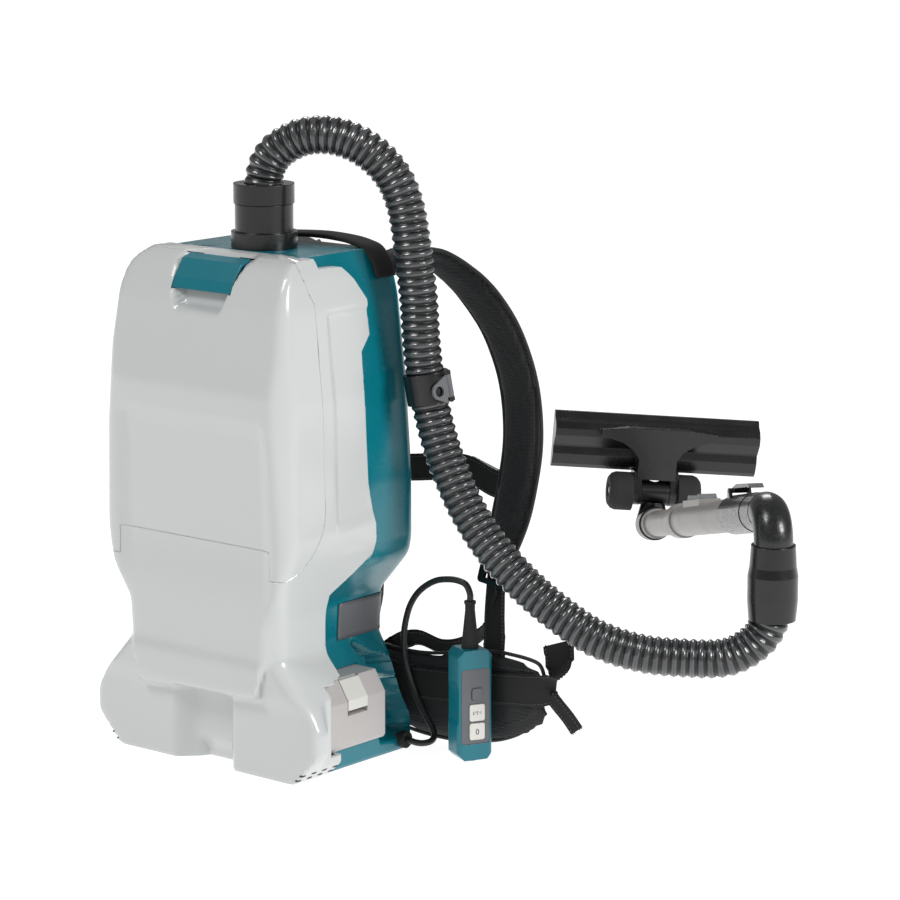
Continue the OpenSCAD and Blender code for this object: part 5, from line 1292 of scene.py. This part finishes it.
# --------------------------------------------------------------------------
# Harness
# --------------------------------------------------------------------------
@dataclass
class Harness:
    """Pads, belt, webbing and buckles."""

    rear_y: float = 86
    belt_y: float = 103
    belt_t: float = 14
    pad_route: tuple[Point, ...] = (
        (54, 86.7, 415), (54.3, 96, 415.3), (65, 113, 428), (82, 131, 425), (107, 148, 403),
            (131, 157, 373),
        (146, 162, 340), (154, 165, 305), (156.5, 165, 264), (153.5, 160, 223), (150.5, 152, 190),
            (149, 145, 168))
    pad_across: Point = (0.97, -0.17, 0.1)
    stitches: Tree | None = None
    outline: tuple[Point, ...] = (
        (0, 18, 84), (40, 12, 82), (70, 6, 80), (98, 3, 81), (128, 3, 86), (152, 6, 91), (179, 11, 95),
        (200, 19, 95), (214, 28, 94), (224, 39, 92), (229, 48, 88), (232, 57, 80))

    def mirrored(self, p: Sequence[float], side: int) -> Vector:
        """Return a point on the right (1) or left (-1) side."""
        return Vector((side * p[0], p[1], p[2]))

    def shoulder(self, side: int) -> None:
        """Make one shoulder pad with piping."""
        name = "shoulder_pad_" + ("right" if side > 0 else "left")
        line = [self.mirrored(p, side) for p in evenly(spline(self.pad_route, 6), 72)]
        across = steady((side * self.pad_across[0], *self.pad_across[1:]))
        swell = lambda t: math.sin(math.radians(90 * min(1.0, min(t, 1 - t) * 8)))
        pad = band(name + "_cover", line, lambda t: (50 * (0.72 + 0.28 * swell(t))) * 0.95,
            lambda t: 12 * (0.45 + 0.55 * swell(t)) * 0.82, across, Coat.MESH, sides=20)
        stuffed(pad, 0.0045, 0.0012)
        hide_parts(name)
        edges = []
        for w in (-1, 1):
            rim = []
            for i, p in enumerate(line[1:-1], 1):
                t = i / (len(line) - 1)
                u = square_to(across(t), heading(line, i))
                rim.append(p + u * w * (50 * (0.72 + 0.28 * swell(t)) / 2 - 0.9))
            edges.append(rim)
        for k, rim in enumerate(edges):
            cord = tube(f"{name}_piping_{k}", rim, 1.7, Coat.PIPING, sides=8)

    def belt(self) -> None:
        """Make the waist belt with its piping and sewn rows."""
        right = [((x * 230 / 232), (a + b) / 2, b - a) for x, a, b in self.outline]
        stations = [(-x, z, h) for x, z, h in reversed(right[1:])] + right
        line = [Vector((x, self.belt_y, z)) for x, z, h in stations]
        high = [h for x, z, h in stations]
        fine = spline([(p.x, p.y, p.z) for p in line], 4)
        tall = [v.z for v in spline([(0, 0, h) for h in high], 4)]
        ends = [1, 1, 1, 1, 1, 1, 1, 1, 0.95, 0.8, 0.6, 0.35]
        thin = [v.z for v in spline([(0, 0, e) for e in list(reversed(ends[1:])) + ends], 4)]
        at = lambda values, t: values[min(len(values) - 1, int(round(t * (len(values) - 1))))]
        belt = band("belt_cover", fine, lambda t: at(tall, t) * 0.97,
            lambda t: self.belt_t * at(thin, t) * 0.86,
            steady((0, 0, 1)), Coat.MESH, sides=24)
        stuffed(belt, 0.0052, 0.0012)
        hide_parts("waist_belt")
        span = len(fine) - 1
        for side in (-1, 1):
            rim = [p + Vector((0, 0, side * (at(tall, i / span) * 0.485 - 1.2))) for i,
                p in enumerate(fine)]
            cord = tube(f"belt_piping_{side + 1}", rim, 1.7, Coat.PIPING, sides=8)
            face = [p + Vector((0, -self.belt_t * 0.43 * at(thin, i / span) + 0.2,
                side * at(tall, i / span) * 0.33))
                for i, p in enumerate(fine)]
            rows = self.stitches.run(f"belt_row_{side + 1}", face, Coat.THREAD, "vacuum")

    def back(self) -> None:
        """Make the back pad with sewn channels."""
        rows = ((12, 70, 5), (18, 92, 9), (50, 100, 9.4), (84, 100, 9.4), (96, 106, 15), (112, 116, 18),
            (150, 124, 18),
            (210, 132, 18), (280, 138, 18), (340, 138, 18), (380, 132, 17), (396, 120, 13), (402, 104, 7))
        line = spline([(0, self.rear_y + 0.3 + t / 2, z) for z, w, t in rows], 4)
        wide = [v.z for v in spline([(0, 0, w) for z, w, t in rows], 4)]
        deep = [v.z for v in spline([(0, 0, t) for z, w, t in rows], 4)]
        at = lambda values, t: values[min(len(values) - 1, int(round(t * (len(values) - 1))))]
        pad = band("back_pad_cover", line, lambda t: at(wide, t) * 0.96, lambda t: at(deep, t) * 0.85,
            steady((1, 0, 0)), Coat.MESH, sides=24)
        stuffed(pad, 0.0055, 0.0012)
        seams = [[Vector((x, self.rear_y + 18, z)) for z in range(120, 390, 4)] for x in (-30, 30)]
        seams += [[Vector((x, self.rear_y + 18, z)) for x in range(-60, 61, 4)] for z in (180, 250, 320)]
        sewn(pad, seams, 3.0, 5.0)
        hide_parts("back_pad")

    def strip(self, name: str, points: Sequence[Sequence[float]], width: float, thick: float,
              across: Callable[[float], Vector], side: int = 1) -> bpy.types.Object:
        """Make one length of webbing on a side."""
        line = spline([self.mirrored(p, side) for p in points], 6)
        for k, (w, face) in enumerate((w, face) for w in (-1, 1) for face in (-1, 1)):
            seam = []
            for i, p in enumerate(line):
                u = square_to(across(i / (len(line) - 1)), heading(line, i))
                seam.append(p + u * w * (width / 2 - 2.6) + heading(line, i).cross(u) * face * thick / 2)
            rows = self.stitches.run(f"{name}_row_{side}_{k}", seam, Coat.THREAD, "vacuum")
        return band(name, line, flat(width), flat(thick), across, Coat.TAPE, sides=12, square=0.4)

    def webbing(self) -> None:
        """Make every strap."""
        lead = (Vector((149, 145, 168)) - Vector((153, 152, 190))).normalized()
        end = Vector((149, 145, 168))
        back_y, face_y = self.belt_y + 8.05, self.belt_y - 8.05
        straps, belts = [], []
        for side in (1, -1):
            turn = lambda v, side=side: Vector((side * v[0], v[1], v[2]))
            down = lambda t, side=side: turn((0.97, (-0.17, -0.08,
                0)[0 if t < 0.68 else 1 if t < 0.8 else 2], 0.1), side)
            straps.append(self.strip("strap_down", [end + 0.35 * lead, end + 8 * lead, (148, 140, 150),
                (150, 135, 130),
                (158, 124, 110), (166, 114, 96), (168, back_y, 84), (169, back_y, 70)], 25, 2, down, side))
            low = lambda t, side=side: turn((0.5, -0.4 if t < 0.7 else -0.2 if t < 0.8 else 0, 1), side)
            straps.append(self.strip("strap_low", [(149, 138.4, 140), (146, 138, 124), (140, 132, 101),
                (124, 124, 87),
                (104, 119, 82), (80, 116, 87), (62, 114, 82), (48, back_y + 0.4, 72), (38, back_y, 62)],
                    17.5, 2, low, side))
            lean = [(0, 0, 1)] * 5 + [(0.3 * k, 0.12 * k, 1.2 - 0.2 * k) for k in (1, 2, 3, 4)]
            wing = lambda t, side=side: turn(lean[min(8, int(round(t * 8)))], side)
            belts.append(self.strip("wing_strap", [(92, face_y, 53), (130, face_y, 56), (170, face_y, 61),
                (205, face_y - 0.2, 65), (224, 96.3, 67), (236, 100.3, 71), (239, 111, 81), (234, 119, 93),
                    (228, 125, 104)],
                29, 2, wing, side))
            tail = lambda t, side=side: turn((0.6, 0.2, 0.5), side)
            belts.append(self.strip("wing_tail", [(237, 102.5, 64), (243, 105, 56), (252, 107.5, 46), (260,
                110, 35)],
                12.5, 4, tail, side))
        for name, parts, target in (("strap_tapes", straps, "strap_webbing"),
                ("belt_tapes", belts, "belt_webbing")):
            whole = join(name, parts)
            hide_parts(target)
        half = [(152, 169.9, 226), (130, 173.4, 222), (114, 175, 222), (85, 175.8, 231), (50, 176.6, 228)]
        points = [(-x, y, z) for x, y, z in half] + [(0, 177, 222)] + list(reversed(half))
        chest = self.strip("chest_tape", points, 25, 2, steady((0, 0, 1)))
        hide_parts("chest_strap")
        grip = [(-56, 62, 442.6), (-44, 62, 442.6), (-20, 62, 444.6), (16, 62, 446.5), (46, 62, 445.4),
            (62, 62, 443),
            (74, 62, 439.2), (83, 62, 429), (88.5, 62, 416)]
        handle = band("grab_handle", evenly(spline(grip, 6), 60), flat(25), lambda t: 5 if t > 0.1 else 4,
            steady((0, 1, 0)), Coat.TAPE, sides=16)
        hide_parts("carry_handle")

    def build(self) -> None:
        """Make the whole harness."""
        self.stitches = stitch_tree(Coat.THREAD)
        dress(Coat.SATIN, "strap_buckles")
        self.shoulder(1)
        self.shoulder(-1)
        self.belt()
        self.back()
        self.webbing()
        LOG.info("harness made")


def main() -> None:
    """Build the scene in order: studio and cords first, then each sub-assembly."""
    Studio().build()
    SuctionHose().build()
    RemoteCord().build()
    for part in (Shells(), Housing(), Wand(), Nozzle(), Remote(), Harness()):
        part.build()
    bpy.context.view_layer.update()


if __name__ == "__main__":
    main()
